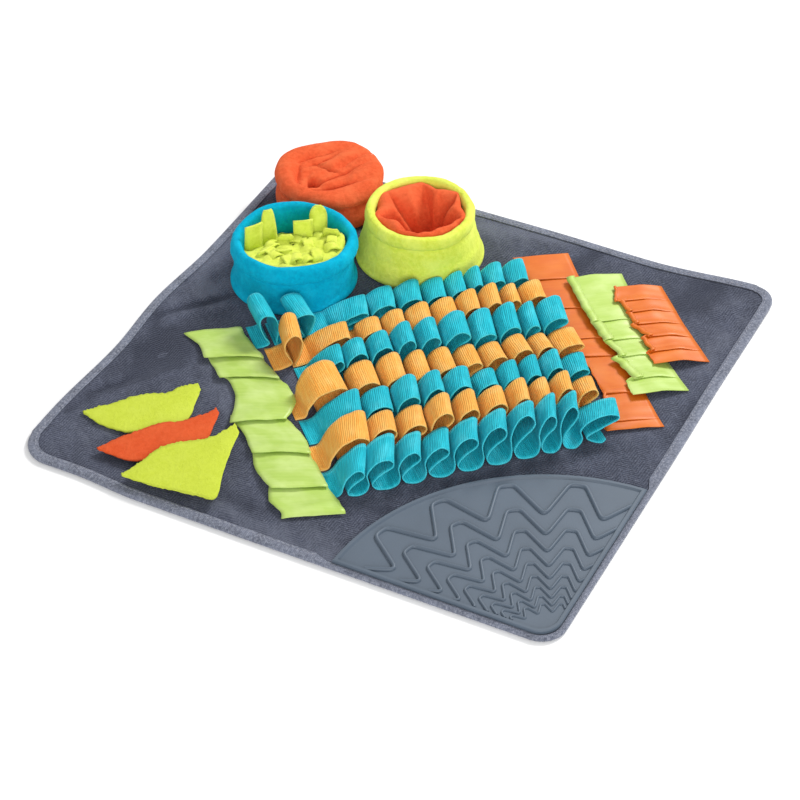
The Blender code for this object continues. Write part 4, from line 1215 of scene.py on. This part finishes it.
def add_ridge(number):
    """One moulded ridge: a line of extruded points, its turns rounded, given a round section."""
    size = RIDGE_RATIO**number
    corners = [place(point.x, point.y, BASE_THICK + GAP + LICK_FLOOR) for point in ridge_corners(size)]
    bpy.ops.object.select_all(action="DESELECT")
    bpy.ops.mesh.primitive_plane_add(size=0.001, location=corners[0])
    ridge = bpy.context.object
    bpy.ops.object.transform_apply(location=True, rotation=True, scale=True)
    bpy.ops.object.mode_set(mode="EDIT")
    bpy.ops.mesh.select_mode(type="VERT")
    bpy.ops.mesh.select_all(action="SELECT")
    bpy.ops.mesh.merge(type="CENTER")
    for before, after in zip(corners, corners[1:]):
        bpy.ops.mesh.extrude_region_move(TRANSFORM_OT_translate={"value": after - before})
    bpy.ops.object.mode_set(mode="OBJECT")
    bpy.ops.object.convert(target="CURVE")
    ridge = bpy.context.object
    ridge.data.dimensions = "3D"
    ridge.data.bevel_depth = RIDGE_WIDE / 2 * MM * (0.42 + 0.58 * size)
    ridge.data.bevel_resolution = 3
    ridge.data.use_fill_caps = True
    bpy.ops.object.convert(target="MESH")
    ridge = bpy.context.object
    bpy.ops.object.mode_set(mode="EDIT")
    bpy.ops.mesh.select_all(action="SELECT")
    bpy.ops.transform.resize(value=(1, 1, 1.25), center_override=corners[0])
    bpy.ops.object.mode_set(mode="OBJECT")
    return ridge


def add_lick_mat():
    """The moulded quarter disc: a rim round a lower floor, with zigzag ridges."""
    corner = place(*FRONT_CORNER, BASE_THICK + GAP)
    bpy.ops.object.select_all(action="DESELECT")
    bpy.ops.mesh.primitive_circle_add(
        vertices=256, radius=LICK_RADIUS * MM, fill_type="NGON", location=corner
    )
    plate = bpy.context.object
    plate.name = "lick_plate"
    bpy.ops.object.transform_apply(location=True, rotation=True, scale=True)
    bpy.ops.object.mode_set(mode="EDIT")
    for side in (1, -1):
        outward = Vector((side, -1, 0)).normalized()
        bpy.ops.mesh.select_all(action="SELECT")
        bpy.ops.mesh.bisect(plane_co=corner - outward * LICK_INSET * MM, plane_no=outward, clear_outer=True)
    bpy.ops.mesh.select_all(action="SELECT")
    bpy.ops.mesh.remove_doubles(threshold=0.0015)
    bpy.ops.mesh.select_all(action="DESELECT")
    bpy.ops.object.mode_set(mode="OBJECT")
    front = min(plate.data.vertices, key=lambda vertex: vertex.co.y)
    front.select = True
    bpy.ops.object.mode_set(mode="EDIT")
    bpy.ops.mesh.select_mode(type="VERT")
    bpy.ops.mesh.bevel(offset=0.019, segments=10, affect="VERTICES")
    bpy.ops.mesh.select_all(action="SELECT")
    bpy.ops.mesh.normals_make_consistent(inside=False)
    bpy.ops.mesh.select_mode(type="FACE")
    bpy.ops.mesh.select_all(action="SELECT")
    bpy.ops.mesh.extrude_region_move(TRANSFORM_OT_translate={"value": (0, 0, (LICK_RIM_HIGH - 0.7) * MM)})
    for inward, up in ((0.7, 0.7), (LICK_RIM_WIDE - 2.2, 0.0), (1.3, LICK_FLOOR - LICK_RIM_HIGH)):
        bpy.ops.mesh.inset(thickness=inward * MM, depth=0)
        bpy.ops.transform.translate(value=(0, 0, up * MM))
    bpy.ops.mesh.select_all(action="SELECT")
    bpy.ops.mesh.normals_make_consistent(inside=False)
    bpy.ops.object.mode_set(mode="OBJECT")
    bpy.ops.object.shade_smooth_by_angle(angle=radians(40))
    ridges = [add_ridge(number) for number in range(RIDGE_COUNT)]
    bpy.ops.object.select_all(action="DESELECT")
    for ridge in ridges:
        ridge.select_set(True)
    bpy.context.view_layer.objects.active = ridges[0]
    bpy.ops.object.join()
    bpy.ops.object.shade_smooth()
    ridges[0].name = "lick_ridges"
    for piece in (plate, ridges[0]):
        piece.data.materials.clear()
        piece.data.materials.append(SILICONE)
        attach(piece, "root")
        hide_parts("lick_mat")


outline = mat_outline(72, 12)
add_camera()
add_studio()
add_base(outline)
add_binding(outline)
add_binding_stitches(outline)
add_lick_mat()
add_rows()
add_pleats()
add_strips()
add_flaps()
add_cup("blue_cup", BLUE_PROFILE, BLUE_RIM, BLUE_FLEECE)
add_cup("lime_cup", LIME_PROFILE, LIME_RIM, LIME_FLEECE)
add_cup(
    "orange_cup", ORANGE_PROFILE, ORANGE_RIM, ORANGE_FLEECE,
    shift=MOUTH_SHIFT, creases=ORANGE_CREASES, thick=1.6,
)
add_pouch()
add_fringe()
